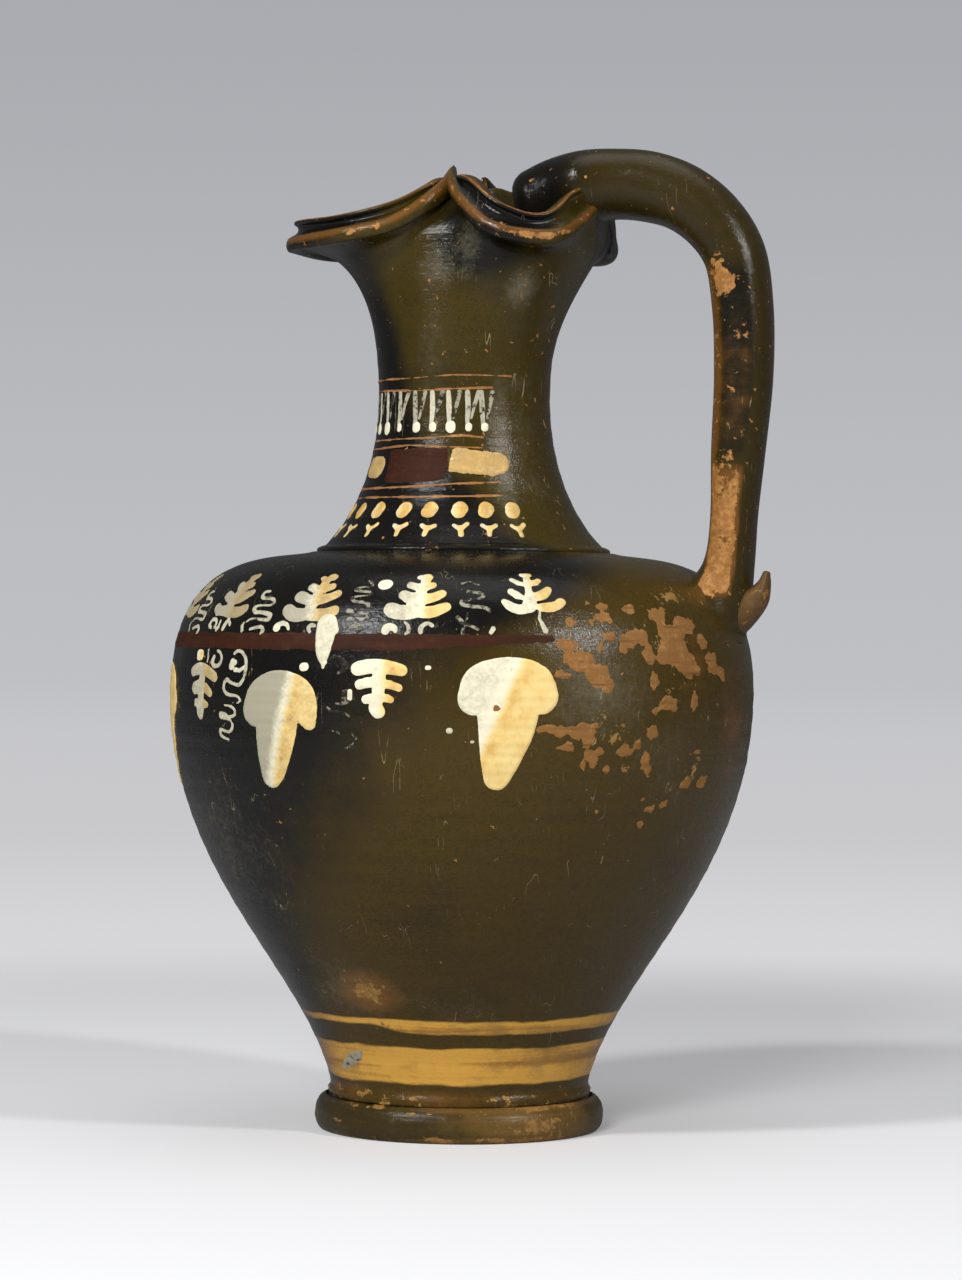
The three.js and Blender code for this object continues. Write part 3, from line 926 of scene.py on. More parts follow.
@dataclass
class VesselBody:
    """The thrown body: a hollow egg with a flat shoulder, closed by a floor."""

    wall: Wall
    finish: SlipGlaze
    around: int = 240

    def section(self) -> np.ndarray:
        """The closed section of the wall, from the axis under the floor round to the axis on it."""
        w = self.wall
        base = w.foot_top - 0.2
        outside = w.body_outside()
        step = np.gradient(outside, axis=0)
        step /= np.linalg.norm(step, axis=1)[:, None]
        inside = outside + np.stack([-step[:, 1], step[:, 0]], axis=1) * w.wall
        floor = w.foot_top + w.floor
        inside = inside[(inside[:, 1] > floor + 1) & (inside[:, 0] > w.throat_radius + 1)][::-3]
        start = [
            (0, base),
            (w.fillet_radius * 0.6, base),
            (w.fillet_radius - 0.2, base),
            (w.fillet_radius, base + 0.8),
            (w.fillet_radius + 0.1, base + 1.6),
            (w.fillet_radius - 0.5, base + 2.4),
        ]
        throat = [(w.throat_radius, w.shoulder_height), (w.throat_radius, w.shoulder_height - w.wall)]
        end = [(w.joint_radius - w.wall - 2, floor), (14, floor - 0.3), (0, floor - 0.4)]
        return np.vstack([start, outside, throat, inside, end])

    def build(self) -> None:
        """Spins the body, gives it the potter's touch and marks its wear and its painted sheen."""
        obj = spun(self.section(), self.around)
        points = thrown(vertex_places(obj))
        place_vertices(obj, points)
        height = points[:, 2]
        worn_joint = 0.37 * smooth(height, 15, 12)
        mark(
            obj,
            wear=np.maximum(wear_field(points, BODY_FLAKED), worn_joint),
            thin=slip_thinness(points),
            rub=wear_field(points, BODY_RUBBED) + 0.4 * smooth(height, 16, 12),
            scuff=wear_field(points, BODY_SCUFFS_AND_SHEEN),
            spill=smooth(np.abs(azimuth_of(points)), 72, 88),
        )
        settle(obj, "thrown_body", Slot.BLACK, self.finish.build(), "vessel_body")


@dataclass
class DiscFoot:
    """The turned foot with a rounded edge and a shallow ring turned under it."""

    finish: SlipGlaze
    radius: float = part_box("disc_foot")[1].y / MM
    height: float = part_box("disc_foot")[1].z / MM
    groove_depth: float = 1.5
    around: int = 200
    edge_steps: int = 28

    def section(self) -> np.ndarray:
        """The foot's section, from the axis below to the axis above."""
        edge = [
            (self.radius - 1.1, 0.25),
            (self.radius + 0.6, self.height * 0.18),
            (self.radius + 0.6, self.height * 0.86),
            (self.radius - 2.8, self.height - 0.4),
        ]
        groove = [
            (self.radius - 3.1, self.height - self.groove_depth),
            (self.radius - 3.8, self.height - self.groove_depth - 0.1),
            (self.radius - 4.2, self.height - 0.3),
        ]
        under = [(0, 0), (17, 0), (17.6, 0.5), (19.4, 0.5), (20, 0), (self.radius - 1.7, 0)]
        top = [(self.radius - 4.7, self.height), (0, self.height + 0.1)]
        return np.vstack([under, cubic(edge, self.edge_steps), groove, top])

    def build(self) -> None:
        """Spins the foot, marks its wear and paints shade into its groove."""
        obj = spun(self.section(), self.around)
        points = thrown(vertex_places(obj))
        place_vertices(obj, points)
        height = points[:, 2]
        far_out = np.hypot(points[:, 0], points[:, 1]) > self.radius - 5
        # Painted shade: the slip is blackened in the groove on the foot's top, where shadow lies
        painted_groove_shade = smooth(height, self.height - 0.9, self.height - 0.3) * far_out
        edges = 0.1 + 0.25 * smooth(height, 7.4, 9) + 0.25 * smooth(height, 2.2, 0.6)
        mark(
            obj,
            wear=np.maximum(wear_field(points, FOOT_FLAKED), 0.48 * smooth(height, 1.4, 0)),
            thin=0.5 + 0.4 * slip_thinness(points) - 0.6 * painted_groove_shade,
            rub=edges + wear_field(points, FOOT_RUBBED),
            scuff=0.2,
        )
        settle(obj, "turned_foot", Slot.WORN, self.finish.build(), "disc_foot")


@dataclass
class TrefoilNeck:
    """The neck and its mouth, pinched into a spout and two side lobes.

    A mouth row holds x and y of the wall's middle line and the rises above the shoulder of the lip's
    thin bead and of its lower edge, from the spout to the back.
    """

    wall: Wall
    finish: SlipGlaze
    around: int = 288
    stem_rise: float = 47.3
    stem_top_radius: float = 22.7
    neck_wall: float = 4.0
    lip_wall: float = 3.4
    overhang: float = 3.3
    pinch_overhang: float = 2.2
    pinch_reach: float = 9.0
    roll_height: float = 4.2
    lip_softness: float = 1.4
    # The flare's curve: its straight rise, how flat it arrives, and how far under the lip, more so behind
    # and at the pinch
    flare_rise: float = 16.0
    flare_spread: float = 14.0
    inner_spread: float = 0.8
    narrowest: float = -0.85
    back_uprightness: float = 0.8
    flare_drop: float = 1.8
    back_drop: float = 13.0
    pinch_drop: float = 7.5
    # Over how many stations pleats are evened out on the flare, up to where they fade, and on the stem
    pleat_width: float = 15.0
    pleats_fade: tuple[float, float] = (0.76, 1.0)
    stem_evenness: float = 24.0
    stem_steps: int = 44
    flare_steps: int = 34
    inner_steps: int = 24
    lip_steps: int = 4
    under_handle: tuple[float, float] = (30.0, 34.5)
    # The ridge at the neck's base, as distances out from its radius and up from its foot
    ridge: tuple[tuple[float, float], ...] = ((-0.9, 0), (-0.1, 0.4), (0, 0.9), (-0.35, 1.4), (-1.2, 1.8))
    pinch_row: int = 6
    mouth: tuple[tuple[float, float, float, float], ...] = (
        (-43.6, 0, 88.3, 79.9),
        (-39.2, -13.6, 87.6, 79.1),
        (-25.0, -23.6, 87.8, 80.0),
        (-11.6, -22.5, 91.6, 83.3),
        (-4.4, -18.6, 96.4, 89.6),
        (-2.5, -13.8, 98.0, 93.8),
        (0.7, -10.2, 97.0, 92.8),
        (3.9, -13.8, 98.0, 94.2),
        (5.5, -19.8, 97.8, 92.8),
        (10.5, -26.6, 96.3, 87.0),
        (19.0, -30.8, 89.1, 79.8),
        (27.0, -28.2, 86.3, 78.0),
        (33.4, -18.6, 92.8, 81.7),
        (35.8, -7.0, 95.8, 87.8),
        (36.0, 0, 96.3, 89.8),
    )

    def stations(self) -> dict[str, np.ndarray]:
        """The wall's middle line round the mouth, with outward directions and lip heights."""
        half = np.array(self.mouth)
        mirrored = half[1:-1][::-1] * np.array([1, -1, 1, 1])
        line = evenly(through(np.vstack([half, mirrored]), True, 60), self.around, True)
        middle = line[:, :2]
        along = np.roll(middle, -1, axis=0) - np.roll(middle, 1, axis=0)
        along /= np.linalg.norm(along, axis=1)[:, None]
        outward = np.stack([along[:, 1], -along[:, 0]], axis=1)
        pinch = np.array(self.mouth[self.pinch_row][:2])
        folded = np.stack([middle[:, 0], -np.abs(middle[:, 1])], axis=1)
        pinched = np.exp(-((np.linalg.norm(folded - pinch, axis=1) / self.pinch_reach) ** 2))
        reach = np.linalg.norm(middle, axis=1)
        turn = np.unwrap(np.arctan2(middle[:, 1], middle[:, 0]))
        ramp = turn[0] + 2 * math.pi * np.arange(self.around) / self.around
        return {
            "middle": middle,
            "outward": outward,
            "radial": middle / reach[:, None],
            "ramp": ramp,
            "bunching": turn - ramp,
            "stem_turn": ramp + softened((turn - ramp)[:, None], self.stem_evenness)[:, 0],
            "top": self.wall.shoulder_height + line[:, 2],
            "bottom": self.wall.shoulder_height + line[:, 3],
            "overhang": self.overhang + (self.pinch_overhang - self.overhang) * pinched,
            "pinched": pinched,
            "covered": smooth(middle[:, 0], *self.under_handle),
            "behind": np.maximum(0, middle[:, 0] / reach) ** 3,
        }

    def flare(self, s: dict, start_radius: float, out: float, end: np.ndarray, spread: float, steps: int):
        """Rows of points from the round stem to the mouth's own outline.

        Args:
            s: the stations.
            start_radius: the stem's radius where the flare starts.
            out: how far outside the wall's middle line the flare ends.
            end: the height at which it ends, for each station.
            spread: how flat it arrives.
            steps: how many spans.

        Returns:
            A list of (around, 3) arrays.
        """
        stem_top = self.wall.shoulder_height + self.stem_rise
        stem_way = heading(s["stem_turn"])
        start = np.column_stack([stem_way * start_radius, np.full(self.around, stem_top)])
        finish = np.column_stack([s["middle"] + s["outward"] * out, end])
        reach = np.linalg.norm(finish[:, :2], axis=1)
        widening = np.clip((reach - start_radius) / self.flare_spread, self.narrowest, 1)
        first = start + np.column_stack([stem_way, np.full(self.around, self.flare_rise)])
        lean = (spread * widening * (1 - self.back_uprightness * s["behind"]))[:, None]
        drop = self.flare_drop + self.back_drop * s["behind"]
        drop = drop + self.pinch_drop * (1 - np.maximum(0, widening))
        second = np.column_stack([finish[:, :2] - s["radial"] * lean, finish[:, 2] - drop])
        rows = []
        for t in np.linspace(0, 1, steps + 1):
            row = bezier((start, first, second, finish), t)
            flat = row[:, :2]
            pleat = self.pleat_width * float(1 - smooth(t, *self.pleats_fade))
            mouth_turn = s["ramp"] + softened(s["bunching"][:, None], pleat)[:, 0]
            radial = heading(s["stem_turn"] * (1 - t) + mouth_turn * t)
            tangent = np.stack([-radial[:, 1], radial[:, 0]], axis=1)
            own = [(flat * radial).sum(axis=1), (flat * tangent).sum(axis=1), row[:, 2]]
            own = softened(np.column_stack(own), pleat)
            rows.append(np.column_stack([radial * own[:, :1] + tangent * own[:, 1:2], own[:, 2]]))
        return rows

    def lip(self, s: dict) -> list:
        """Rows of points over the lip: heavy lower roll, hollow face, thin bead and inner side.

        At the pinch the face turns up, so that the roll stands highest and the bead lies behind it.
        """
        half = self.lip_wall / 2
        low, top, w, open_lip = s["bottom"], s["top"], s["pinched"], 1 - s["covered"]
        edge = half + s["overhang"] * (0.25 + 0.75 * open_lip)
        roll = self.roll_height * (1 + 0.75 * np.sqrt(w))
        bead = edge - 2.0 - 1.5 * w
        crest = low + roll
        foot = top - 1.6
        guide = [
            (np.full(self.around, half), low + 1.2),
            (edge - 1.7, low + 0.15),
            (edge - 0.6, low + roll * 0.05),
            (edge, low + roll * 0.33),
            (edge, low + roll * 0.6),
            (edge - 0.4, low + roll * 0.85),
            (edge - 1.3 + 0.2 * w, crest),
            (edge - 1.6 - (1.0 - 1.2 * w) * open_lip, crest + (foot - crest) * 0.3 - 0.5 * w),
            (edge - 1.6 - (1.5 - 1.6 * w) * open_lip, crest + (foot - crest) * 0.6 - 0.6 * w),
            (edge - 1.6 - (1.4 - 0.9 * w) * open_lip, foot - 0.2),
            (bead - 0.35, top - 1.3),
            (bead, top - 0.8),
            (bead - 0.2, top - 0.25),
            (bead - 0.9 + 0.45 * w, top),
            (-half * 0.4 - 0.75 * w, top - 0.25),
            (-half * 0.95 - 0.2 * w, top - 1.1),
            (-half - 0.2 * w, top - 2.4),
        ]
        keys = np.array([np.column_stack([out, height]).ravel() for out, height in guide])
        rows = []
        for row in through(keys, False, self.lip_steps)[1:]:
            pair = row.reshape(self.around, 2)
            sharp = np.column_stack([s["middle"] + s["outward"] * pair[:, :1], pair[:, 1]])
            rows.append(softened(sharp, self.lip_softness))
        return rows

    def rings(self) -> np.ndarray:
        """All the rings of the neck: up the outside, over the lip and down the inside."""
        s = self.stations()
        w = self.wall
        half = self.lip_wall / 2
        stem = w.stem(self.stem_steps)
        stem_way = heading(s["stem_turn"])

        def ring(radius: float, height: float) -> np.ndarray:
            """One round ring, in step with the mouth's stations."""
            return np.column_stack([stem_way * radius, np.full(self.around, height)])

        base = w.shoulder_height - w.seam
        inner = self.stem_top_radius - self.neck_wall
        spread = self.flare_spread
        rows = [ring(w.ridge_radius + out, base + up) for out, up in self.ridge]
        rows += [ring(r, z) for r, z in stem]
        rows += self.flare(s, self.stem_top_radius, half, s["bottom"] + 1.2, spread, self.flare_steps)
        rows += self.lip(s)
        inside = self.flare(s, inner, -half, s["top"] - 4.2, spread * self.inner_spread, self.inner_steps)
        rows += inside[::-1]
        rows += [ring(min(r - self.neck_wall, w.throat_radius), z) for r, z in stem[::-4]]
        rows += [ring(w.throat_radius, base)]
        return np.array(rows)

    def round_lip(self, count: int) -> np.ndarray:
        """How far round the lip each vertex lies, in rows of the lip's guide.

        Args:
            count: how many vertices the neck has.

        Returns:
            0 where the flare ends, 4 on the roll, 12 on the bead and 16 at the lip's inner side.
        """
        first = len(self.ridge) + self.stem_steps + 1 + self.flare_steps
        return (np.arange(count) // self.around - first) / self.lip_steps

    def build(self) -> None:
        """Lofts the neck and marks its wear, its painted shade and its painted highlights."""
        obj = lofted(self.rings(), True)
        points = thrown(vertex_places(obj))
        place_vertices(obj, points)
        at = self.round_lip(len(points))
        edge_wear = 0.38 * bell(at, 3.9, 1.4) + 0.34 * bell(at, 12.3, 1.3)
        hollow = smooth(at, 5.4, 6.8) * smooth(at, 12.0, 10.8)
        olive = slip_thinness(points) + 0.25 * smooth(points[:, 2], 205, 222)
        mark(
            obj,
            wear=wear_field(points, NECK_FLAKED) + edge_wear * (0.8 + 0.55 * wear_field(points, LIP_WORN)),
            # thin is lowered by painted shade under the pinch and on the far lobe, and lowered on the lip's
            # hollow face; scuff carries the neck's painted highlights
            thin=np.clip(olive - wear_field(points, NECK_PAINTED_SHADE) - 0.6 * hollow, 0, 1),
            rub=0.64 * bell(at, 4.6, 1.7) + 0.72 * bell(at, 12.4, 1.2),
            scuff=wear_field(points, NECK_PAINTED_HIGHLIGHTS),
        )
        settle(obj, "neck_and_mouth", Slot.BLACK, self.finish.build(), "trefoil_neck")


# A window narrower than this, in stations, changes nothing
LEAST_SPREAD = 0.3


def softened(rows: np.ndarray, spread: float) -> np.ndarray:
    """Evens a closed ring's numbers out along it with a bell-shaped window.

    Args:
        rows: one row for each station.
        spread: the window's standard deviation in stations.

    Returns:
        The evened rows.
    """
    if spread < LEAST_SPREAD:
        return rows
    station = np.arange(len(rows))
    window = np.exp(-0.5 * (np.minimum(station, len(rows) - station) / spread) ** 2)
    window /= window.sum()
    return np.real(np.fft.ifft(np.fft.fft(rows, axis=0) * np.fft.fft(window)[:, None], axis=0))


# How a rod's rounded end is drawn: its rings, how far it turns, and how blunt it is
CAP_RINGS = 8
CAP_TURN = 0.46 * math.pi
CAP_BLUNTNESS = 0.6


@dataclass(frozen=True)
class PulledRod:
    """A pulled strap of clay: x, rise above the shoulder, half depth and half width along its line."""

    line: tuple[tuple[float, float, float, float], ...]
    end_rounding: float
    squareness: float
    round_start: bool
    steps: int
    sides: int

    def rings(self, shoulder_height: float) -> np.ndarray:
        """The strap's rings, with one end rounded."""
        rows = np.array([(x, 0, shoulder_height + rise, d, w) for x, rise, d, w in self.line])
        line = evenly(through(rows, False, 40), self.steps, False)
        along = np.gradient(line[:, :3], axis=0)
        along /= np.linalg.norm(along, axis=1)[:, None]
        angles = np.linspace(0, 2 * math.pi, self.sides, endpoint=False)
        power = 2 / self.squareness
        deep = np.sign(np.cos(angles)) * np.abs(np.cos(angles)) ** power
        wide = np.sign(np.sin(angles)) * np.abs(np.sin(angles)) ** power

        def ring(row: np.ndarray, way: np.ndarray, scale: float, push: float) -> np.ndarray:
            """One ring of the strap, square to its middle line."""
            across = np.array([-way[2], 0, way[0]])
            centre = row[:3] + way * push
            points = centre + np.outer(deep * row[3] * scale, across)
            points[:, 1] += wide * row[4] * scale
            return points

        body = [ring(row, way, 1, 0) for row, way in zip(line, along)]
        turns = np.linspace(0, CAP_TURN, CAP_RINGS + 1)[1:]
        end, way, direction = (line[0], along[0], -1) if self.round_start else (line[-1], along[-1], 1)
        push = direction * self.end_rounding
        cap = [ring(end, way, math.cos(a) ** CAP_BLUNTNESS, push * math.sin(a)) for a in turns]
        return np.array(cap[::-1] + body if self.round_start else body + cap)

    def pull(self, wall: Wall, width: float, reach: float) -> tuple[bpy.types.Object, np.ndarray]:
        """Lofts the strap and smears its root out over the body.

        Args:
            wall: the body that it stands on.
            width: how far the root spreads.
            reach: how high above the body the spread dies out.

        Returns:
            The solid and its vertices' places.
        """
        obj = lofted(self.rings(wall.shoulder_height), False)
        points = spread_root(vertex_places(obj), wall, width, reach)
        place_vertices(obj, points)
        return obj, points


# Patches of the handle's outer limb: strength, lowest and highest place, and first and last turn about
# the strap's line in degrees. Their edges fade over so many millimetres and degrees
HANDLE_WORN = (
    (0.62, 140, 165, 225, 296), (0.48, 165, 178, 225, 284), (0.44, 218, 231, 205, 272),
    (0.36, 178, 218, 214, 240), (0.3, 178, 224, 240, 300),
)
HANDLE_RUBBED = ((0.52, 150, 228, 186, 238), (0.6, 140, 174, 225, 300), (0.2, 178, 226, 238, 300))
HANDLE_DARK = ((0.34, 176, 226, 240, 304),)
HANDLE_SCUFFED = ((0.15, 176, 216, 228, 300),)
PATCH_FADE, PATCH_FADE_TURN = 3, 9


@dataclass
class Handle:
    """The high strap handle, from its rounded end over the mouth to its root on the shoulder."""

    wall: Wall
    finish: SlipGlaze
    rod: PulledRod = PulledRod(
        line=(
            (20.5, 92.3, 9.2, 10.6),
            (26.0, 94.4, 9.5, 11.6),
            (33.5, 96.0, 9.6, 14.2),
            (41.0, 96.6, 9.2, 11.8),
            (50.0, 95.7, 9.2, 10.9),
            (59.0, 92.6, 8.8, 10.4),
            (67.0, 86.4, 8.4, 10.2),
            (72.6, 77.9, 8.0, 10.0),
            (75.0, 64.3, 7.8, 9.8),
            (75.4, 46.3, 7.5, 9.6),
            (74.1, 26.3, 6.8, 9.4),
            (73.2, 10.3, 5.9, 9.4),
            (72.4, -0.7, 6.0, 9.8),
            (70.8, -10.7, 6.6, 10.6),
            (67.6, -20.7, 7.2, 11.4),
        ),
        end_rounding=6.0,
        squareness=2.2,
        round_start=True,
        steps=170,
        sides=56,
    )

    def build(self) -> None:
        """Pulls the handle and marks its wear."""
        obj, points = self.rod.pull(self.wall, 1.5, 2.6)
        turn = np.arange(len(points)) % self.rod.sides * (360 / self.rod.sides)
        turn = np.where(turn < 180, 360 - turn, turn)
        height = points[:, 2]
        outer_limb = smooth(points[:, 0], 55, 62)

        def patches(rows: tuple) -> np.ndarray:
            """Soft-edged patches of the outer limb, added up."""
            total = np.zeros(len(points))
            for strength, low, high, first, last in rows:
                tall = smooth(height, low - PATCH_FADE, low + PATCH_FADE)
                tall *= smooth(height, high + PATCH_FADE, high - PATCH_FADE)
                wide = smooth(turn, first - PATCH_FADE_TURN, first + PATCH_FADE_TURN)
                wide *= smooth(turn, last + PATCH_FADE_TURN, last - PATCH_FADE_TURN)
                total += strength * tall * wide * outer_limb
            return total

        dark = 0.4 * smooth(points[:, 0], 40, 26) + patches(HANDLE_DARK)
        mark(
            obj,
            wear=patches(HANDLE_WORN),
            thin=0.66 - dark + 0.2 * smooth(height, 215, 180),
            rub=patches(HANDLE_RUBBED) + 0.14 * smooth(height, 222, 200) * outer_limb,
            scuff=patches(HANDLE_SCUFFED),
        )
        settle(obj, "pulled_handle", Slot.OLIVE, self.finish.build(), "handle")


@dataclass
class Spur:
    """The upturned thorn of clay under the handle's root."""

    wall: Wall
    finish: SlipGlaze
    rod: PulledRod = PulledRod(
        line=(
            (68.0, -16.7, 7.0, 7.6),
            (75.0, -13.9, 5.8, 6.4),
            (79.2, -11.3, 3.6, 5.0),
            (81.2, -7.9, 1.8, 3.6),
            (81.8, -5.3, 1.0, 2.0),
        ),
        end_rounding=0.9,
        squareness=2.0,
        round_start=False,
        steps=50,
        sides=36,
    )

    def build(self) -> None:
        """Pulls the spur and marks its wear."""
        obj, _ = self.rod.pull(self.wall, 1.2, 2.0)
        mark(obj, wear=0.34, thin=0.7, rub=0.5, scuff=0.12)
        settle(obj, "root_spur", Slot.CLAY, self.finish.build(), "handle_spur")


# Where the roots stand, how high above the shoulder they are smeared, and how much more towards the neck
ROOT_PLACE = (72.0, 0.0)
ROOT_TOP = 12
INWARD_GAIN = 1.6


def spread_root(points: np.ndarray, wall: Wall, width: float, reach: float) -> np.ndarray:
    """Smears a luted root out over the body, as a potter's thumb does.

    Args:
        points: the strap's places in millimetres.
        wall: the body that it stands on.
        width: how far the root spreads where it meets the body.
        reach: how high above the body the spread dies out.

    Returns:
        The new places.
    """
    outside = wall.body_outside()
    radius = np.hypot(points[:, 0], points[:, 1])
    near = np.full(len(points), 1e9)
    side = np.ones(len(points))
    for i in range(0, len(outside) - 1, 2):
        gap = np.hypot(radius - outside[i, 0], points[:, 2] - outside[i, 1])
        step = outside[i + 1] - outside[i]
        inside = (radius - outside[i, 0]) * step[1] - (points[:, 2] - outside[i, 1]) * step[0]
        closer = gap < near
        near = np.where(closer, gap, near)
        side = np.where(closer, np.sign(inside), side)
    distance = np.where(side < 0, 0, near)
    amount = width * np.exp(-distance / reach)
    away = points[:, :2] - ROOT_PLACE
    away /= np.maximum(np.linalg.norm(away, axis=1), 1e-6)[:, None]
    low = points[:, 2] < wall.shoulder_height + ROOT_TOP
    spread = np.where(low, amount, 0) * (1 + INWARD_GAIN * np.maximum(0, -away[:, 0]))
    out = points.copy()
    out[:, :2] += spread[:, None] * away
    return out


# Painted ornament and flaked places


# A corner's random number: how far each of column, row and seed turns a sine, and what spreads it out
HASH_TURNS = (127.1, 311.7, 74.7)
HASH_SPREAD = 43758.5453
# Lumps of torn and brushed edges: size in millimetres and depth
LUMPS = ((4.0, 0.42), (1.9, 0.36), (0.95, 0.27), (0.5, 0.15))
# Skins: the lowest that one stands off the wall, how far in from its edge it is full, how far off its
# edge is probed for its slope, the least slope that counts, and a distance beyond every figure
SKIN_BASE = 0.03
SKIN_SHOULDER = 0.5
PROBE = 0.05
LEAST_SLOPE = 0.4
FAR_OFF = 9.0


def lattice_noise(x: np.ndarray, y: np.ndarray, seed: float) -> np.ndarray:
    """Smooth noise from minus one to one whose lumps are one unit across."""
    column, row = np.floor(x), np.floor(y)
    u, v = smooth(x - column, 0, 1), smooth(y - row, 0, 1)

    def corner(i: int, j: int) -> np.ndarray:
        """The random number of one corner of each cell."""
        a, b, c = HASH_TURNS
        mixed = np.sin((column + i) * a + (row + j) * b + seed * c) * HASH_SPREAD
        return 2 * (mixed - np.floor(mixed)) - 1

    low = corner(0, 0) * (1 - u) + corner(1, 0) * u
    high = corner(0, 1) * (1 - u) + corner(1, 1) * u
    return low * (1 - v) + high * v


def ragged(x: np.ndarray, y: np.ndarray, seed: float) -> np.ndarray:
    """Noise for torn and brushed edges: lumps of 4 mm down to half a millimetre."""
    total = np.zeros(len(x))
    for size, depth in LUMPS:
        total += depth * lattice_noise(x / size, y / size, seed + size)
    return total


def merged(first: np.ndarray, second: np.ndarray, blend: float) -> np.ndarray:
    """The union of two shapes, given as distances to their edges, with a soft inner corner."""
    share = np.clip(0.5 + 0.5 * (first - second) / blend, 0, 1)
    return first * (1 - share) + second * share - blend * share * (1 - share)


def box_round(places: np.ndarray, margin: np.ndarray) -> tuple[np.ndarray, np.ndarray]:
    """The lowest and highest coordinates round places that each have a margin."""
    return (places - margin).min(axis=0), (places + margin).max(axis=0)


@dataclass(kw_only=True)
class Skin:
    """A thin coat, cut line or scar on the wall, cut out along an edge that its own kind draws.

    Its flat coordinates are millimetres round the wall, towards the viewer's right, and up the wall.
    """

    azimuth: float
    height: float
    proud: float = 0.14
    grid: float = 0.28
    uneven: float = 0.14
    faint: float = 0.0
    grey: float = 0.0

    def reach(self, ground: PaintGround) -> tuple[np.ndarray, np.ndarray]:
        """The lowest and highest flat coordinates that the coat may cover."""
        raise NotImplementedError

    def edge(self, ground: PaintGround, x: np.ndarray, y: np.ndarray) -> np.ndarray:
        """Signed distance to the coat's edge, negative inside."""
        raise NotImplementedError

    def golden(self, x: np.ndarray, y: np.ndarray) -> np.ndarray | float:
        """How golden the coat is at each place."""
        return 0.0

    def dirty(self, x: np.ndarray, y: np.ndarray) -> np.ndarray | float:
        """How grey the coat is at each place."""
        return self.grey

    def build(self, ground: PaintGround) -> bpy.types.Object:
        """Cuts the coat out of a grid and lays it on the wall.

        Args:
            ground: the wall that carries it.

        Returns:
            The coat as a thin raised skin.
        """
        low, high = self.reach(ground)
        columns, rows = (int(count) for count in np.maximum(2, np.ceil((high - low) / self.grid)))
        bpy.ops.object.select_all(action="DESELECT")
        bpy.ops.mesh.primitive_grid_add(x_subdivisions=columns, y_subdivisions=rows, size=1)
        obj = bpy.context.active_object

        def flat_places() -> np.ndarray:
            """The grid's vertices in flat coordinates, as a row of x and a row of y."""
            return (low + (vertex_places(obj)[:, :2] * MM + 0.5) * (high - low)).T

        outside = self.edge(ground, *flat_places()) > 0
        beyond = outside[vertex_numbers(obj.data.polygons, 4)].all(axis=1)
        edit(obj, bpy.ops.mesh.delete, beyond, "FACE", type="FACE")
        x, y = flat_places()
        for _ in range(2):
            x, y = self.snapped(ground, x, y)
        proud = SKIN_BASE + self.proud * smooth(-self.edge(ground, x, y), 0.0, SKIN_SHOULDER)
        place_vertices(obj, ground.lift(self.azimuth, self.height, x, y, proud))
        mark(obj, gold=self.golden(x, y), grey=self.dirty(x, y), faint=self.faint)
        return obj

    def snapped(self, ground: PaintGround, x: np.ndarray, y: np.ndarray) -> tuple[np.ndarray, np.ndarray]:
        """Draws the vertices outside the coat's edge in to it."""
        edge = self.edge(ground, x, y)
        gx = (self.edge(ground, x + PROBE, y) - self.edge(ground, x - PROBE, y)) / (2 * PROBE)
        gy = (self.edge(ground, x, y + PROBE) - self.edge(ground, x, y - PROBE)) / (2 * PROBE)
        norm = np.maximum(gx * gx + gy * gy, LEAST_SLOPE)
        move = np.where(edge > 0, np.minimum(edge, self.grid), 0)
        return x - move * gx / norm, y - move * gy / norm


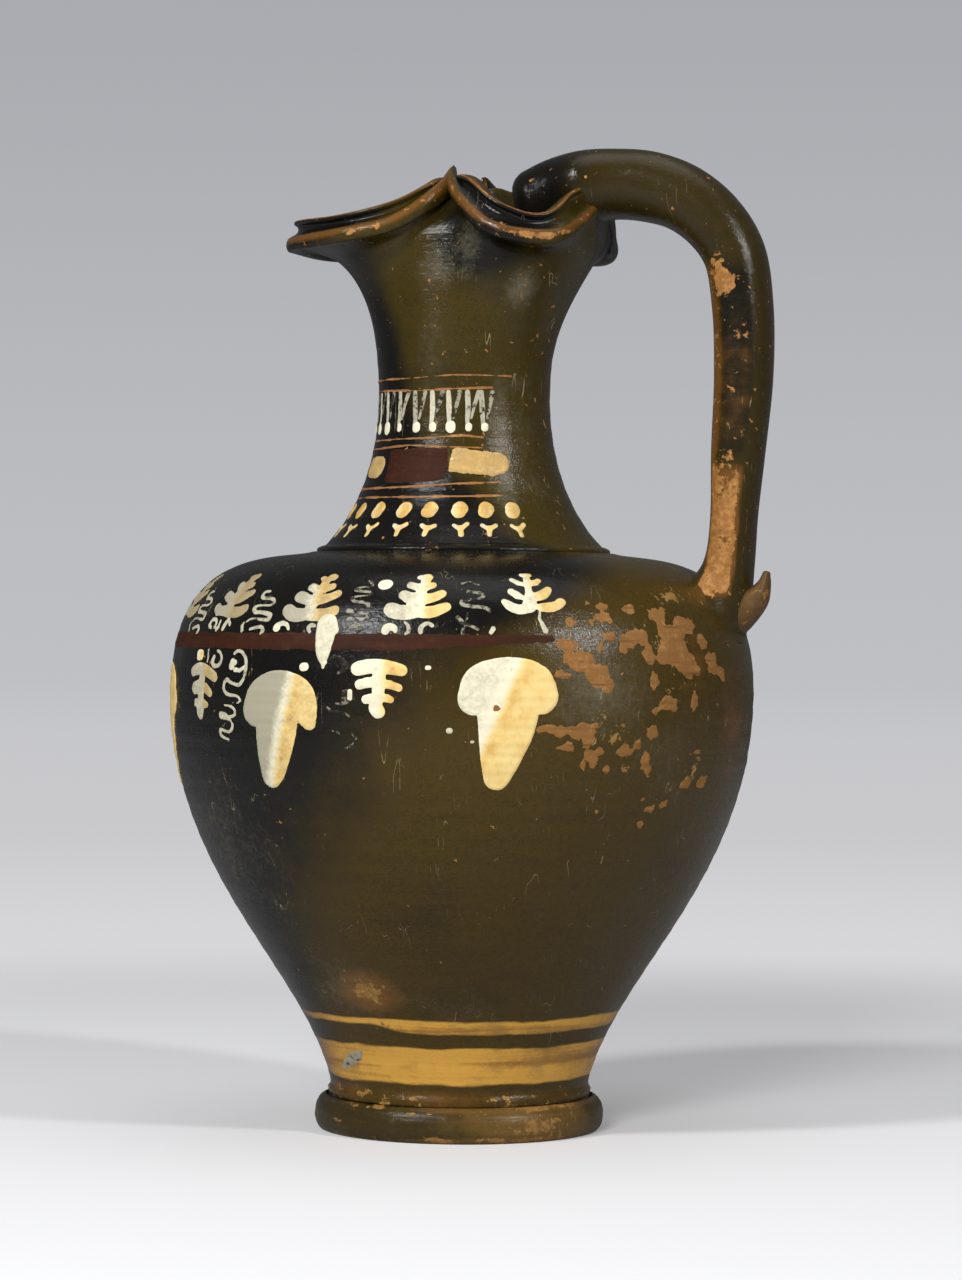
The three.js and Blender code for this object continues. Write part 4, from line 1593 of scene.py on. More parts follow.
@dataclass(kw_only=True)
class Brushwork(Skin):
    """A figure painted in round-ended touches of the brush.

    Each path is a row of x, y and half width. Its cream turns to gold along a slanted line, whose place
    at the height of the origin and whose slope are given.
    """

    paths: tuple
    turn: float = 99.0
    slope: float = 0.0
    turn_width: float = 5.0
    gold: float = 0.8
    dirt_reach: float = 0.0
    blend: float = 0.3

    def touches(self) -> np.ndarray:
        """The straight tapering touches that the paths are made of: two rows of x, y and half width each."""
        pairs = []
        for path in self.paths:
            rows = np.array(path, float)
            if len(rows) == 1:
                rows = np.vstack([rows, rows + (0.01, 0.01, 0)])
            if len(rows) > 3:
                bent = through(np.column_stack([rows[:, :2], np.zeros(len(rows)), rows[:, 2]]), False, 4)
                rows = bent[:, (0, 1, 3)]
            pairs.append(np.stack([rows[:-1], rows[1:]], axis=1))
        return np.vstack(pairs)

    def reach(self, ground: PaintGround) -> tuple[np.ndarray, np.ndarray]:
        """The box round all the touches."""
        ends = self.touches().reshape(-1, 3)
        return box_round(ends[:, :2], ends[:, 2:] + 0.8)

    def edge(self, ground: PaintGround, x: np.ndarray, y: np.ndarray) -> np.ndarray:
        """Signed distance to the touches, softly merged, with a brush's unevenness."""
        total = np.full(len(x), FAR_OFF)
        for (x0, y0, r0), (x1, y1, r1) in self.touches():
            dx, dy = x1 - x0, y1 - y0
            off = np.abs(x - 0.5 * (x0 + x1)) + np.abs(y - 0.5 * (y0 + y1))
            near = off < abs(dx) + abs(dy) + 2 * max(r0, r1) + 3
            px, py = x[near] - x0, y[near] - y0
            t = np.clip((px * dx + py * dy) / max(dx * dx + dy * dy, 1e-9), 0, 1)
            own = np.hypot(px - t * dx, py - t * dy) - (r0 + (r1 - r0) * t)
            total[near] = merged(total[near], own, self.blend)
        return total + self.uneven * ragged(x, y, self.azimuth + self.height)

    def golden(self, x: np.ndarray, y: np.ndarray) -> np.ndarray:
        """Gold to the right of the turning line, deepest close to it."""
        right = x - self.turn - self.slope * y
        warm = smooth(right, -self.turn_width / 2, self.turn_width / 2)
        return self.gold * warm * (1 + 0.25 * np.exp(-((right - 2.0) / 1.8) ** 2))

    def dirty(self, x: np.ndarray, y: np.ndarray) -> np.ndarray:
        """Grey away from the turning line on the cream side, where the paint is rubbed thin."""
        left = self.turn + self.slope * y - x
        return self.grey + self.dirt_reach * smooth(left, 0.8, 5.0)


@dataclass(kw_only=True)
class Torn(Skin):
    """Bare fabric where the slip has flaked off: ovals of azimuth, height, half width and half height."""

    ovals: tuple
    proud: float = 0.07
    grid: float = 0.34
    uneven: float = 1.5

    def flat_ovals(self, ground: PaintGround) -> np.ndarray:
        """The ovals in flat coordinates."""
        rows = np.array(self.ovals, float)
        x, y = ground.flatten(self.azimuth, self.height, rows[:, 0], rows[:, 1])
        return np.column_stack([x, y, rows[:, 2:]])

    def reach(self, ground: PaintGround) -> tuple[np.ndarray, np.ndarray]:
        """The box round all the ovals."""
        rows = self.flat_ovals(ground)
        return box_round(rows[:, :2], rows[:, 2:] + 1.5)

    def edge(self, ground: PaintGround, x: np.ndarray, y: np.ndarray) -> np.ndarray:
        """Signed distance to the ovals' union, torn by noise."""
        total = np.full(len(x), FAR_OFF)
        for cx, cy, half_width, half_height in self.flat_ovals(ground):
            near = (np.abs(x - cx) < half_width + 3) & (np.abs(y - cy) < half_height + 3)
            across = np.hypot((x[near] - cx) / half_width, (y[near] - cy) / half_height)
            total[near] = merged(total[near], (across - 1) * min(half_width, half_height), 0.4)
        return total + self.uneven * ragged(x, y, self.azimuth)


@dataclass(kw_only=True)
class Stripe(Skin):
    """A painted or cut stripe between two edges, given as rows of azimuth, lower and upper height."""

    rows: tuple
    gold: float = 1.2
    end_rounding: float = 0.3

    def flat_rows(self, ground: PaintGround) -> np.ndarray:
        """The rows as x, lower y and upper y."""
        rows = np.array(self.rows, float)
        x, low = ground.flatten(self.azimuth, self.height, rows[:, 0], rows[:, 1])
        _, high = ground.flatten(self.azimuth, self.height, rows[:, 0], rows[:, 2])
        return np.column_stack([x, low, high])

    def reach(self, ground: PaintGround) -> tuple[np.ndarray, np.ndarray]:
        """The box round the stripe."""
        rows = self.flat_rows(ground)
        low = np.array([rows[0, 0], rows[:, 1].min()]) - 0.8
        return low, np.array([rows[-1, 0], rows[:, 2].max()]) + 0.8

    def edge(self, ground: PaintGround, x: np.ndarray, y: np.ndarray) -> np.ndarray:
        """Signed distance to the stripe."""
        rows = self.flat_rows(ground)
        low = np.interp(x, rows[:, 0], rows[:, 1])
        high = np.interp(x, rows[:, 0], rows[:, 2])
        across = np.abs(y - (low + high) / 2) - (high - low) / 2
        along = np.maximum(rows[0, 0] - x, x - rows[-1, 0])
        corner = np.hypot(np.maximum(across + self.end_rounding, 0), np.maximum(along + self.end_rounding, 0))
        inner = np.minimum(np.maximum(across, along) + self.end_rounding, 0)
        return corner + inner - self.end_rounding + self.uneven * ragged(x, y, self.azimuth + self.height)

    def golden(self, x: np.ndarray, y: np.ndarray) -> float:
        """The same gold all over."""
        return self.gold


def leaf(azimuth: float, paths: tuple, turn: float, slope: float, **more) -> Brushwork:
    """An upright leaf that stands on the red band."""
    return Brushwork(azimuth=azimuth, height=134.4, paths=paths, turn=turn, slope=slope, **more)


def thread(azimuth: float, height: float, faint: float, *paths: tuple) -> Brushwork:
    """Thin tendrils and curls, of which the paint is mostly gone."""
    hair = {"proud": 0.05, "grid": 0.22, "uneven": 0.1, "blend": 0.12, "grey": 0.4}
    return Brushwork(azimuth=azimuth, height=height, paths=paths, faint=faint, **hair)


def dot(azimuth: float, height: float, width: float, tall: float, **more) -> Brushwork:
    """A round or oval dot."""
    radius = min(width, tall) / 2
    x, y = max(width / 2 - radius, 0.01), max(tall / 2 - radius, 0.01)
    touch = ((-x, -y, radius), (x, y, radius))
    return Brushwork(azimuth=azimuth, height=height, paths=(touch,), grid=0.2, **more)


# Brush paths of each figure, as x, y and half width in millimetres from the figure's own origin
LEAF_FADED = (
    ((-9.2, 2.6, 1.4), (-7.6, 1.6, 1.4), (-3, 1.8, 1.6)),
    ((-7.3, 6.5, 1.35), (-5.8, 5.8, 1.4), (-3.8, 5, 1.5)),
    ((-4.5, 10, 1.15), (-3.2, 9.1, 1.4), (-1.6, 8.2, 1.5)),
    ((-2.2, 13, 1), (-0.5, 13, 1.5), (-1, 11, 1.5)),
    ((1.2, 9.7, 1.2), (-0.8, 9.2, 1.7)),
    ((3.8, 7.1, 1.15), (2, 6.2, 1.4), (0, 5.5, 1.6), (-2, 5, 1.6)),
    ((4.4, 2.3, 1.3), (2.4, 1.4, 1.5), (0, 1.2, 1.5), (-3, 1.5, 1.5)),
    ((-3, 2, 1.6), (-2.8, 5, 1.6), (-1.8, 8.5, 1.5), (-1, 12, 1.2)),
)
LEAF_SLENDER = (
    ((-9.8, 2, 1.7), (-7.8, 0.8, 1.75), (-5.5, 0.6, 1.75), (-3.5, 0.9, 1.6)),
    ((-7.7, 6.1, 1.5), (-6.2, 5.5, 1.5), (-4.2, 4.8, 1.4), (-2.5, 3.6, 1.5)),
    ((-5.2, 9.1, 1.25), (-3.8, 8.5, 1.2), (-2.4, 7.6, 1.2)),
    ((-3.3, 12.5, 0.85), (-2, 11.6, 1.1)),
    ((-0.6, 12.8, 1.5), (0, 12.7, 1.3)),
    ((1.1, 9.2, 1.25), (-0.6, 8.6, 1.5)),
    ((3.7, 6.9, 1.2), (2.2, 6, 1.2), (0.4, 5.3, 1.4), (-1.6, 4.9, 1.5)),
    ((4.2, 1.9, 1.45), (2.2, 0.95, 1.6), (0, 0.7, 1.6), (-3, 0.7, 1.5)),
    ((-3, 1.5, 1.6), (-2.8, 4, 1.6), (-2, 7.5, 1.3), (-1.5, 11, 1.2)),
)
LEAF_BROAD = (
    ((-8, 2.3, 1.95), (-6.3, 1.6, 1.9), (-4, 1.5, 1.9), (-2, 1.6, 1.7)),
    ((-5.2, 6.6, 1.45), (-3.8, 5.9, 1.6), (-2.2, 4.8, 1.8)),
    ((-3.9, 9.9, 1.15), (-2.4, 9.4, 1.15), (-1, 8.6, 1.2)),
    ((-1.7, 12.9, 0.9), (0.2, 12.8, 1.5), (-0.2, 10.8, 1.1)),
    ((2, 9.9, 1.1), (0.2, 9.4, 1.4)),
    ((4.7, 7.1, 1.2), (3.2, 6.2, 1.25), (1.2, 5.5, 1.45), (-1, 5.2, 1.6)),
    ((5.9, 3.2, 1.25), (4.2, 2.4, 1.4), (2, 1.7, 1.6), (-0.5, 1.7, 1.6)),
    ((-1.5, 2, 1.8), (-1.2, 5.5, 1.7), (-0.6, 8.5, 1.2), (-0.2, 11.5, 0.9)),
)
LEAF_WORN = (
    ((-7.4, 4.8, 0.8), (-6, 3.5, 1.2), (-3.8, 2.6, 1.3), (-1.5, 3, 1.3)),
    ((-5.2, 7.9, 1), (-3.8, 6.8, 1.1), (-2.8, 6.2, 0.8)),
    ((-4.6, 12.2, 0.7), (-3, 11, 0.8), (-1.2, 10.4, 0.8)),
    ((-1, 3.5, 1.8), (-0.5, 6, 1.5), (-0.5, 8, 0.9), (-0.4, 10.5, 1), (-0.2, 13, 1)),
    ((-1.3, 14.2, 0.8), (0.8, 14.2, 0.8)),
    ((3, 12, 0.8), (1.8, 11.2, 1), (0, 10.8, 1.1)),
    ((5.1, 8.8, 0.9), (3.9, 7.6, 1.2), (2.2, 6.7, 1.3), (0.8, 6.3, 1.2)),
    ((7.8, 4.9, 1.15), (6.4, 3.9, 1.2), (4.2, 3.2, 1.25), (1.8, 3.2, 1.1)),
)
BUNCH_LEANING = (
    (
        (-8.5, -1.4, 4.3), (-6.5, 2, 4.4), (-2.5, 4, 4.3), (2, 3.9, 4.3), (5.8, 1.6, 4.7),
        (7.6, -1.6, 3.4), (8.6, -4.2, 2),
    ),
    ((-1.5, -0.5, 6.8), (-1.7, -5, 6.6), (-2.8, -11, 5.6), (-3.9, -16, 4.1), (-4.7, -18.2, 3)),
)
BUNCH_UPRIGHT = (
    (
        (-8.3, -0.9, 4.3), (-6.6, 2.8, 4.6), (-2.5, 4.4, 4.5), (3, 4.4, 4.5), (6.6, 3, 4.6),
        (8.1, -0.4, 4.5),
    ),
    ((0, -2.5, 7.9), (-0.4, -8, 7), (-1.1, -12, 6), (-1.8, -16, 4.9), (-2.6, -20.4, 3.4)),
)
HANGING_NARROW = (
    ((-5.8, -2.2, 1.75), (-3, -1.6, 1.7), (0, -1.5, 1.7), (3, -2, 1.6), (5.5, -2.5, 1.4)),
    ((-5.2, -6.1, 1.25), (-3, -5.6, 1.2), (-1, -5.3, 1.3)),
    ((0, -5.8, 1.2), (2.5, -6, 1), (4.8, -6.8, 0.95)),
    ((-3.6, -9.8, 1.1), (-2.2, -9.4, 1.1)),
    ((0, -9.2, 1.1), (2, -9.4, 0.95), (2.8, -9.7, 0.9)),
    ((0, -1.5, 1.6), (-0.3, -6, 1.7), (-0.4, -9.5, 1.5)),
    ((-0.9, -10.5, 1.6), (-1, -11.9, 1.8)),
    ((-0.5, -12.8, 1.6), (-0.3, -12.7, 1.7)),
)
HANGING_WIDE = (
    (
        (-7.8, -2.3, 1.3), (-5.5, -1.7, 1.5), (-3, -1.5, 1.5), (0, -1.9, 1.4), (3, -3, 1.35),
        (4.5, -3.6, 1.25),
    ),
    ((-6.2, -6.5, 1.6), (-4, -6.3, 1.8), (-2, -6, 1.6)),
    ((0.2, -6.5, 1.3), (2.2, -7.5, 1.25)),
    ((-5.6, -10.2, 1), (-4, -10.3, 1.2)),
    ((-1, -10.4, 1.2), (0.6, -10.6, 0.85)),
    ((-2, -2, 1.5), (-2.2, -6, 1.5), (-2.8, -10, 1.7)),
    ((-2.8, -10.8, 2), (-3, -12.2, 1.9), (-3, -13.1, 1.4)),
)
TONGUE = (
    ((-1.2, -1, 2.7), (-1.2, -4, 2.6), (-1.3, -8, 1.9), (-1.1, -10.5, 0.9)),
    ((0.4, -1.6, 1.6), (1.2, -2.6, 1.1)),
    ((-0.8, -11, 0.7), (-0.9, -12.2, 0.4)),
    ((-0.3, -11, 0.4),),
)
TENDRIL_ABOVE = (
    (
        (23.8, 11.2, 0.4), (22.2, 11, 0.45), (21.8, 10, 0.5), (22.8, 9.1, 0.5), (25, 9, 0.45),
        (26.8, 8.7, 0.5), (27.6, 7.8, 0.5), (26.8, 7, 0.4), (24.5, 6.9, 0.3), (22, 6.7, 0.4),
        (21, 5.9, 0.6), (22, 5, 0.6), (24, 4.9, 0.5), (26.5, 4.6, 0.6), (28, 4, 0.6), (27.8, 3, 0.5),
        (25.5, 2.9, 0.4), (23, 3.2, 0.3), (21, 2.9, 0.3), (19.8, 2.2, 0.25),
    ),
    ((19, 2, 0.3), (18.7, 1, 0.55), (19, -0.1, 0.6)),
    ((22, 0.3, 0.4), (24, 0.7, 0.4), (26, 0.9, 0.5), (26.8, 0, 0.6), (26.2, -1, 0.5)),
)
CURLS_ABOVE = (
    (
        (4.2, 0.7, 0.5), (3.2, 1.3, 0.7), (3.6, 2.5, 0.5), (5, 2.9, 0.5), (6.3, 2.3, 0.5),
        (6.6, 1.3, 0.5), (6, 0.7, 0.4),
    ),
    ((8.3, 2.5, 0.4), (8.2, 0.9, 0.5), (7.3, 0.1, 0.6)),
    ((12, 3, 0.6), (11, 1.5, 0.7), (10.4, 0.3, 0.6)),
    ((12.5, 2.3, 0.5), (13.3, 1.5, 0.5)),
)
TENDRIL_THIN = (
    ((5.5, 15, 0.3), (6.8, 13.8, 0.4), (6.5, 13, 0.25), (4, 12.7, 0.25), (2.3, 12, 0.3)),
    (
        (2.4, 11.6, 0.3), (5, 11.3, 0.4), (7, 11, 0.35), (7.4, 10.3, 0.3), (5, 9.9, 0.2), (3.5, 9.7, 0.3),
        (2.2, 9.2, 0.4), (3, 8.3, 0.4), (5.5, 8, 0.45), (7, 7.5, 0.5), (7.4, 6.9, 0.4),
    ),
    (
        (2, 5.5, 0.6), (5, 5.1, 0.3), (7.5, 4.6, 0.4), (7.8, 3.7, 0.4), (6, 3.1, 0.4), (3.5, 3.4, 0.4),
        (2, 3.3, 0.3),
    ),
    ((2.5, 0.6, 0.3), (4, 1.3, 0.4), (5.7, 1.5, 0.45), (6.3, 0.8, 0.6), (5.4, 0, 0.55)),
)
COMMAS = (
    ((12.7, -0.1, 0.95), (12.9, 0.9, 1), (13.9, 1.2, 0.95), (14.9, 0.9, 0.8), (15.3, 0.1, 0.45)),
    ((21.6, -0.2, 0.55), (21.6, 0.9, 0.6), (22.5, 2, 0.5), (23.5, 2.2, 0.45), (24.4, 1.6, 0.5)),
)
TENDRIL_RIGHT = (
    ((3, 14.2, 0.4), (5, 14.8, 0.3), (7.5, 13.8, 0.3)),
    (
        (3, 12.3, 0.4), (5, 11.4, 0.5), (7.8, 11.1, 0.5), (8.8, 10.3, 0.4), (7.5, 9.3, 0.4), (5, 9, 0.4),
        (3.2, 8.5, 0.6), (3, 7.8, 0.6), (5.5, 7, 0.5), (8, 6.8, 0.5), (9.8, 6.2, 0.5), (10, 5.5, 0.4),
    ),
    ((4.5, 5, 0.3), (4.2, 3.5, 0.3)),
    ((2, 3.8, 0.6), (3.2, 2.5, 0.6), (5, 1.8, 0.4), (7, 0.8, 0.4)),
    ((3.3, -0.3, 0.5), (3.4, 0.8, 0.5)),
)
TENDRIL_BELOW = (
    (
        (1.3, 20.3, 0.55), (0.8, 19.3, 0.75), (1.3, 18.2, 0.6), (3, 17.9, 0.5), (4.6, 18.7, 0.5),
        (4.8, 20, 0.45), (4, 21.3, 0.4), (2.5, 21.8, 0.35),
    ),
    (
        (10.2, 21.2, 0.4), (11.5, 21.9, 0.4), (13.5, 21.4, 0.45), (14.9, 19.8, 0.5), (15.3, 17.8, 0.5),
        (14.9, 15.8, 0.5), (13.9, 14, 0.5), (12.8, 13.3, 0.5), (11, 13.5, 0.4), (9.5, 13.9, 0.4),
        (8, 14.5, 0.5), (7, 13.9, 0.5), (6.8, 12.4, 0.5), (7.7, 11.2, 0.5), (9.5, 10.7, 0.4),
        (11.5, 10.6, 0.35), (12.9, 10.1, 0.35), (13.4, 9.4, 0.4), (12.6, 8.7, 0.4), (10, 8.7, 0.25),
        (7, 8.2, 0.25), (9.5, 7.9, 0.35), (11.2, 7, 0.45), (11.4, 6, 0.45), (10.2, 5.3, 0.4),
        (8, 5.2, 0.3), (6, 4.9, 0.3), (5.2, 5.1, 0.45), (5.1, 5.9, 0.4), (6.5, 6, 0.35), (8, 5.7, 0.25),
    ),
    (
        (6.5, 4.7, 0.3), (8.8, 4.4, 0.4), (10, 3.5, 0.45), (9.8, 2.2, 0.45), (8.5, 1.4, 0.4),
        (7, 1.5, 0.35), (5.6, 1.8, 0.35), (4.7, 1.7, 0.5), (5, 0.5, 0.5), (6.5, -0.3, 0.35),
        (8, -0.6, 0.4),
    ),
    ((-2, 22, 0.4), (-1.8, 19, 0.4)),
)
BALL_AND_TAIL = (
    ((10.9, 18.9, 0.7), (9.9, 18.9, 1), (9.6, 17.9, 1)),
    ((11, 17.1, 0.6), (13, 16.9, 0.5), (14.8, 17.9, 0.45)),
)
LOOPS_BELOW = (
    (
        (1.5, 26.2, 0.5), (3, 26.8, 0.5), (4.8, 26, 0.6), (5.7, 24.8, 0.7), (5.3, 23.5, 0.6),
        (4, 22.8, 0.4),
    ),
    ((6, 17.9, 0.9), (5.7, 16.5, 0.9)),
    ((7.1, 17, 0.35), (6.8, 15.8, 0.4), (5, 15.2, 0.35), (3.5, 15.3, 0.25)),
    ((1, 14.5, 0.3), (2.5, 13.3, 0.35), (5, 13.1, 0.3), (7, 12.2, 0.25)),
    ((2.5, 8.6, 0.35), (4, 7.9, 0.3)),
    ((7.6, 8, 0.25), (8.6, 6.5, 0.25), (7.8, 5.2, 0.3), (6.2, 4.2, 0.35), (5.3, 4.6, 0.3)),
)
# The balls under the neck's streaks as azimuth and half width, then lean and the faintness of the left
# and the right streak, which take turns
DROPS = (
    (-6, 1.1), (7, 1.1), (20, 1), (33, 1.2), (45.5, 1.45), (59, 0.85), (73.5, 1.1), (85.5, 1.0),
    (97.5, 1.3), (109.3, 0.85), (119.8, 0.9),
)
DROP_KINDS = ((-0.2, 0.3, 0.62), (0.15, 0.42, 0.5), (-0.35, 0.5, 0.56), (0.1, 0.24, 0.66))
# Azimuths of the neck's dots, and the leans that take turns
DOT_LEANS = (0.2, -0.3, 0.4, -0.1, 0.3)
NECK_DOTS = (0, 14, 28, 43, 58.8, 75.4, 89.5, 104.4, 117.5, 131.4)
# Flaked places as azimuth, height, half width and half height
FLAKES = (
    (148.8, 135.5, 3.2, 2.6), (155, 133, 5, 2), (151, 131, 5, 3), (151, 127, 6, 4.2),
    (154.5, 123.5, 4, 3.5), (148, 126, 3, 3), (141, 129.8, 5.5, 2.4), (135.5, 130, 2, 1.3),
    (144, 126, 2.3, 3), (138, 127.2, 1, 0.9), (133.5, 127, 1, 1.6), (126, 128, 3.2, 2),
    (128.5, 124, 4, 3), (132, 120.5, 3.4, 2.8), (134.2, 118.3, 2, 2.2), (125, 120.3, 2, 0.9),
    (132, 134, 4, 1.1), (134.5, 134.8, 2.6, 1.3), (127.5, 134, 1.5, 1.2), (134.2, 137.5, 1.5, 0.8),
    (132.5, 138.3, 0.7, 0.6), (141.5, 136.6, 1.8, 1.6), (145, 137.8, 0.5, 0.7), (160, 129, 2, 2.3),
    (162, 124.8, 2.2, 1.4), (163.5, 122, 3.2, 1.6), (166, 121.2, 2, 1.4), (157.3, 121.5, 1.5, 1.1),
    (145.2, 118.8, 1.2, 2), (148.5, 113.2, 3.2, 1.6), (150.5, 114, 1, 1), (145.6, 112, 1, 0.8),
    (155.8, 113.8, 1.6, 2.2), (164.2, 112.8, 1, 0.8), (122, 107.2, 2.5, 1), (125, 106.6, 1.5, 0.8),
    (129, 107, 4, 1.8), (130.5, 104.5, 1.9, 1.6), (126, 102.8, 1.8, 0.8), (131.5, 100, 2.4, 2),
    (133, 101.5, 1, 1), (130, 98.5, 1, 1.2), (135, 97.3, 1.2, 1), (138.5, 102, 2.6, 1.9),
    (141, 103.5, 1.2, 1.1), (143.8, 99.3, 1.2, 2.2), (144.6, 97.2, 0.9, 1.1), (139, 96.8, 0.9, 0.5),
    (144.5, 106.3, 1.8, 1.3), (157.8, 101.2, 1.4, 0.8), (156, 93.6, 1.8, 1.2), (161, 93.3, 1.6, 1.3),
    (150.6, 88.4, 1.4, 1.2), (146.2, 86.8, 1.4, 0.8), (145.5, 83.3, 1.4, 1.7), (144.5, 89.5, 0.7, 0.5),
    (133.9, 86.6, 0.5, 0.5),
)
FAR_FLAKES = (
    (-152, 126, 5, 2.6), (-146, 122.5, 3.2, 2.2), (-158, 131, 2.4, 1.6), (-139, 112, 2.6, 1.4),
    (-120, 64, 2.2, 1.4), (-96, 92, 1.4, 1.0), (-166, 96, 2.0, 2.6), (-61, 139, 1.6, 1.0),
)


@dataclass
class Ornament:
    """All the painted ornament, the same on both sides of the spout, and the flaked places."""

    wall: Wall
    cream: AddedSlip = AddedSlip("added_cream_and_gold_slip")
    red: MattCoat = MattCoat("added_red_slip", "#361808", "#4a2812", "#1e1007", 0.65)
    line: MattCoat = MattCoat("cut_line_bared_clay", "#9a683a", "#bd9468", "#6a4526")
    bare: MattCoat = MattCoat("flaked_bare_clay", "#8b6133", "#b08049", "#573b1d")
    body: PaintGround = field(init=False)
    neck: PaintGround = field(init=False)

    def __post_init__(self) -> None:
        """Measures the two stretches of wall that are painted."""
        self.body = PaintGround(self.wall.body_outside())
        self.neck = PaintGround(self.wall.neck_outside())

    def shoulder_vine(self) -> list[Skin]:
        """Leaves, tendrils and curls above the red band."""
        return [
            leaf(12.5, LEAF_SLENDER, -1.0, -0.25, grey=0.9),
            leaf(31.5, LEAF_FADED, -2.0, -0.1, grey=0.9),
            leaf(53.8, LEAF_FADED, -2.0, -0.1, grey=0.85, gold=1.0),
            leaf(77.2, LEAF_SLENDER, -1.0, -0.25, grey=0.5, dirt_reach=0.3, gold=0.95),
            leaf(98.6, LEAF_BROAD, 0.5, -0.05, grey=0.25, dirt_reach=0.3),
            leaf(120.5, LEAF_WORN, 1.7, -0.15, faint=0.12, grey=0.3),
            Brushwork(azimuth=80.5, height=133.8, paths=TONGUE, grey=0.4, proud=0.3),
            dot(90, 142.7, 3.8, 3.7),
            dot(68, 131.7, 2.3, 2.0, grey=0.2),
            thread(68, 131.7, 0.15, ((0, 0.6, 0.7), (1.6, 1.2, 0.6), (3.2, 0.8, 0.5), (3.9, -0.3, 0.4))),
            thread(76, 131.5, 0.45, ((1.2, 0.8, 0.4), (0.2, 1, 0.5), (-0.5, 0.2, 0.5), (0, -0.8, 0.4))),
            thread(44, 131, 0.42, *TENDRIL_ABOVE),
            thread(44, 131, 0.3, *CURLS_ABOVE),
            thread(21, 131, 0.4, *TENDRIL_ABOVE),
            thread(82, 131, 0.62, *TENDRIL_THIN),
            thread(82, 131, 0.05, COMMAS[0]),
            thread(82, 131, 0.35, COMMAS[1]),
            thread(82, 131, 0.5, ((17.5, 2.5, 0.3), (18.4, 1.5, 0.4), (18.5, 0, 0.5), (17.9, -0.7, 0.5))),
            thread(104, 131, 0.64, *TENDRIL_RIGHT),
            thread(104, 131, 0.3, ((10.2, 0, 0.5), (10.8, 1, 0.6))),
            thread(120.5, 134.4, 0.35, ((1.5, 2, 0.3), (1.2, 0, 0.35), (2.4, -3.1, 0.7))),
        ]

    def belly_bunches(self) -> list[Skin]:
        """Bunches, hanging leaves, dots and tendrils below the red band, and the scar on the tan band."""
        bunch = {"grid": 0.34, "proud": 0.22, "turn_width": 3.4}
        upright = {"paths": BUNCH_UPRIGHT, "turn": -0.4, "slope": 0.45, **bunch}
        leaning = {"paths": BUNCH_LEANING, "turn": 2.0, "slope": 0.3, **bunch}
        hanging = {"height": 122.6, "paths": HANGING_WIDE, "turn": -1.4}
        scar = ((-5.2, -2.6, 0.8), (-1, -0.3, 1.1), (2.2, 1.0, 1.0), (5.0, 2.6, 0.6))
        scarred = {"grey": 0.7, "faint": 0.42, "proud": 0.05, "uneven": 0.9}
        return [
            Brushwork(azimuth=23, height=113.5, grey=0.2, **upright),
            Brushwork(azimuth=70.5, height=112.6, grey=0.3, dirt_reach=0.75, **leaning),
            Brushwork(azimuth=115, height=115.8, dirt_reach=0.35, **upright),
            Brushwork(azimuth=48.5, grey=0.6, faint=0.08, **hanging),
            Brushwork(azimuth=91.2, height=124, paths=HANGING_NARROW, turn=0.6, gold=0.9, grey=0.2),
            Brushwork(azimuth=4, grey=0.25, **hanging),
            dot(45.2, 124.6, 4.0, 2.8, turn=0.2, grey=0.2),
            dot(75.7, 122.1, 2.7, 2.0, grey=0.1),
            dot(100.2, 122.2, 1.5, 1.0, grey=0.2),
            dot(104.2, 106.8, 1.6, 1.2, faint=0.3, grey=0.4),
            dot(108.4, 104.1, 1.1, 0.8, faint=0.3, grey=0.4),
            dot(85.4, 115.3, 1.4, 3.0, faint=0.2, grey=0.2),
            thread(50, 104, 0.35, *TENDRIL_BELOW),
            thread(50, 104, 0.08, *BALL_AND_TAIL),
            thread(4, 104, 0.35, *TENDRIL_BELOW),
            thread(80, 98, 0.72, *LOOPS_BELOW),
            Brushwork(azimuth=56.5, height=20.2, paths=(scar,), **scarred),
        ]

    def neck_tongues(self) -> list[Skin]:
        """Streaks with drops, golden patches, dots and three-pronged marks on the neck."""
        skins = []
        for (azimuth, ball), (lean, left_faint, right_faint) in zip(DROPS, cycle(DROP_KINDS)):
            left = ((-0.4, 0.9, 0.55), (-0.3 + lean, 5, 0.75), (-0.5 + lean, 9, 0.65))
            right = ((0.7, 2.3, 0.3), (1.6, 6, 0.5), (2.5 + lean, 9, 0.7))
            skins.append(dot(azimuth, 184, 2 * ball, 2 * ball + 0.6, proud=0.2))
            skins.append(thread(azimuth, 184, left_faint, left))
            skins.append(thread(azimuth, 184, right_faint, right))
        round_dot = {"height": 162.3, "gold": 0.95, "grey": 0.3, "grid": 0.24, "uneven": 0.3}
        three_prongs = {"height": 158.3, "turn": -1.5, "gold": 0.75, "grey": 0.3, "grid": 0.22, "proud": 0.12}
        for azimuth, lean in zip(NECK_DOTS, cycle(DOT_LEANS)):
            oval = ((-0.2, -0.45, 1.95), (0.15, 0.45, 2.05))
            prongs = (
                ((-1.7, 0, 0.55), (-0.5, -0.9, 0.7)),
                ((1.8, 0.1 + lean, 0.6), (0.4, -0.9, 0.7)),
                ((0, -0.8, 0.75), (-0.1 + lean, -3.2, 0.6)),
            )
            skins.append(Brushwork(azimuth=azimuth, paths=(oval,), turn=-2.5 + 3 * lean, **round_dot))
            skins.append(Brushwork(azimuth=azimuth + 0.6, paths=prongs, **three_prongs))
        right_patch = (
            (97.5, 172.4, 174.4), (99.5, 172.2, 178), (101, 172.1, 178.3), (113, 171.6, 178.1),
            (123, 171.2, 177.6), (130, 172, 177.3), (133, 172.9, 176.6), (134.8, 174, 175.4),
        )
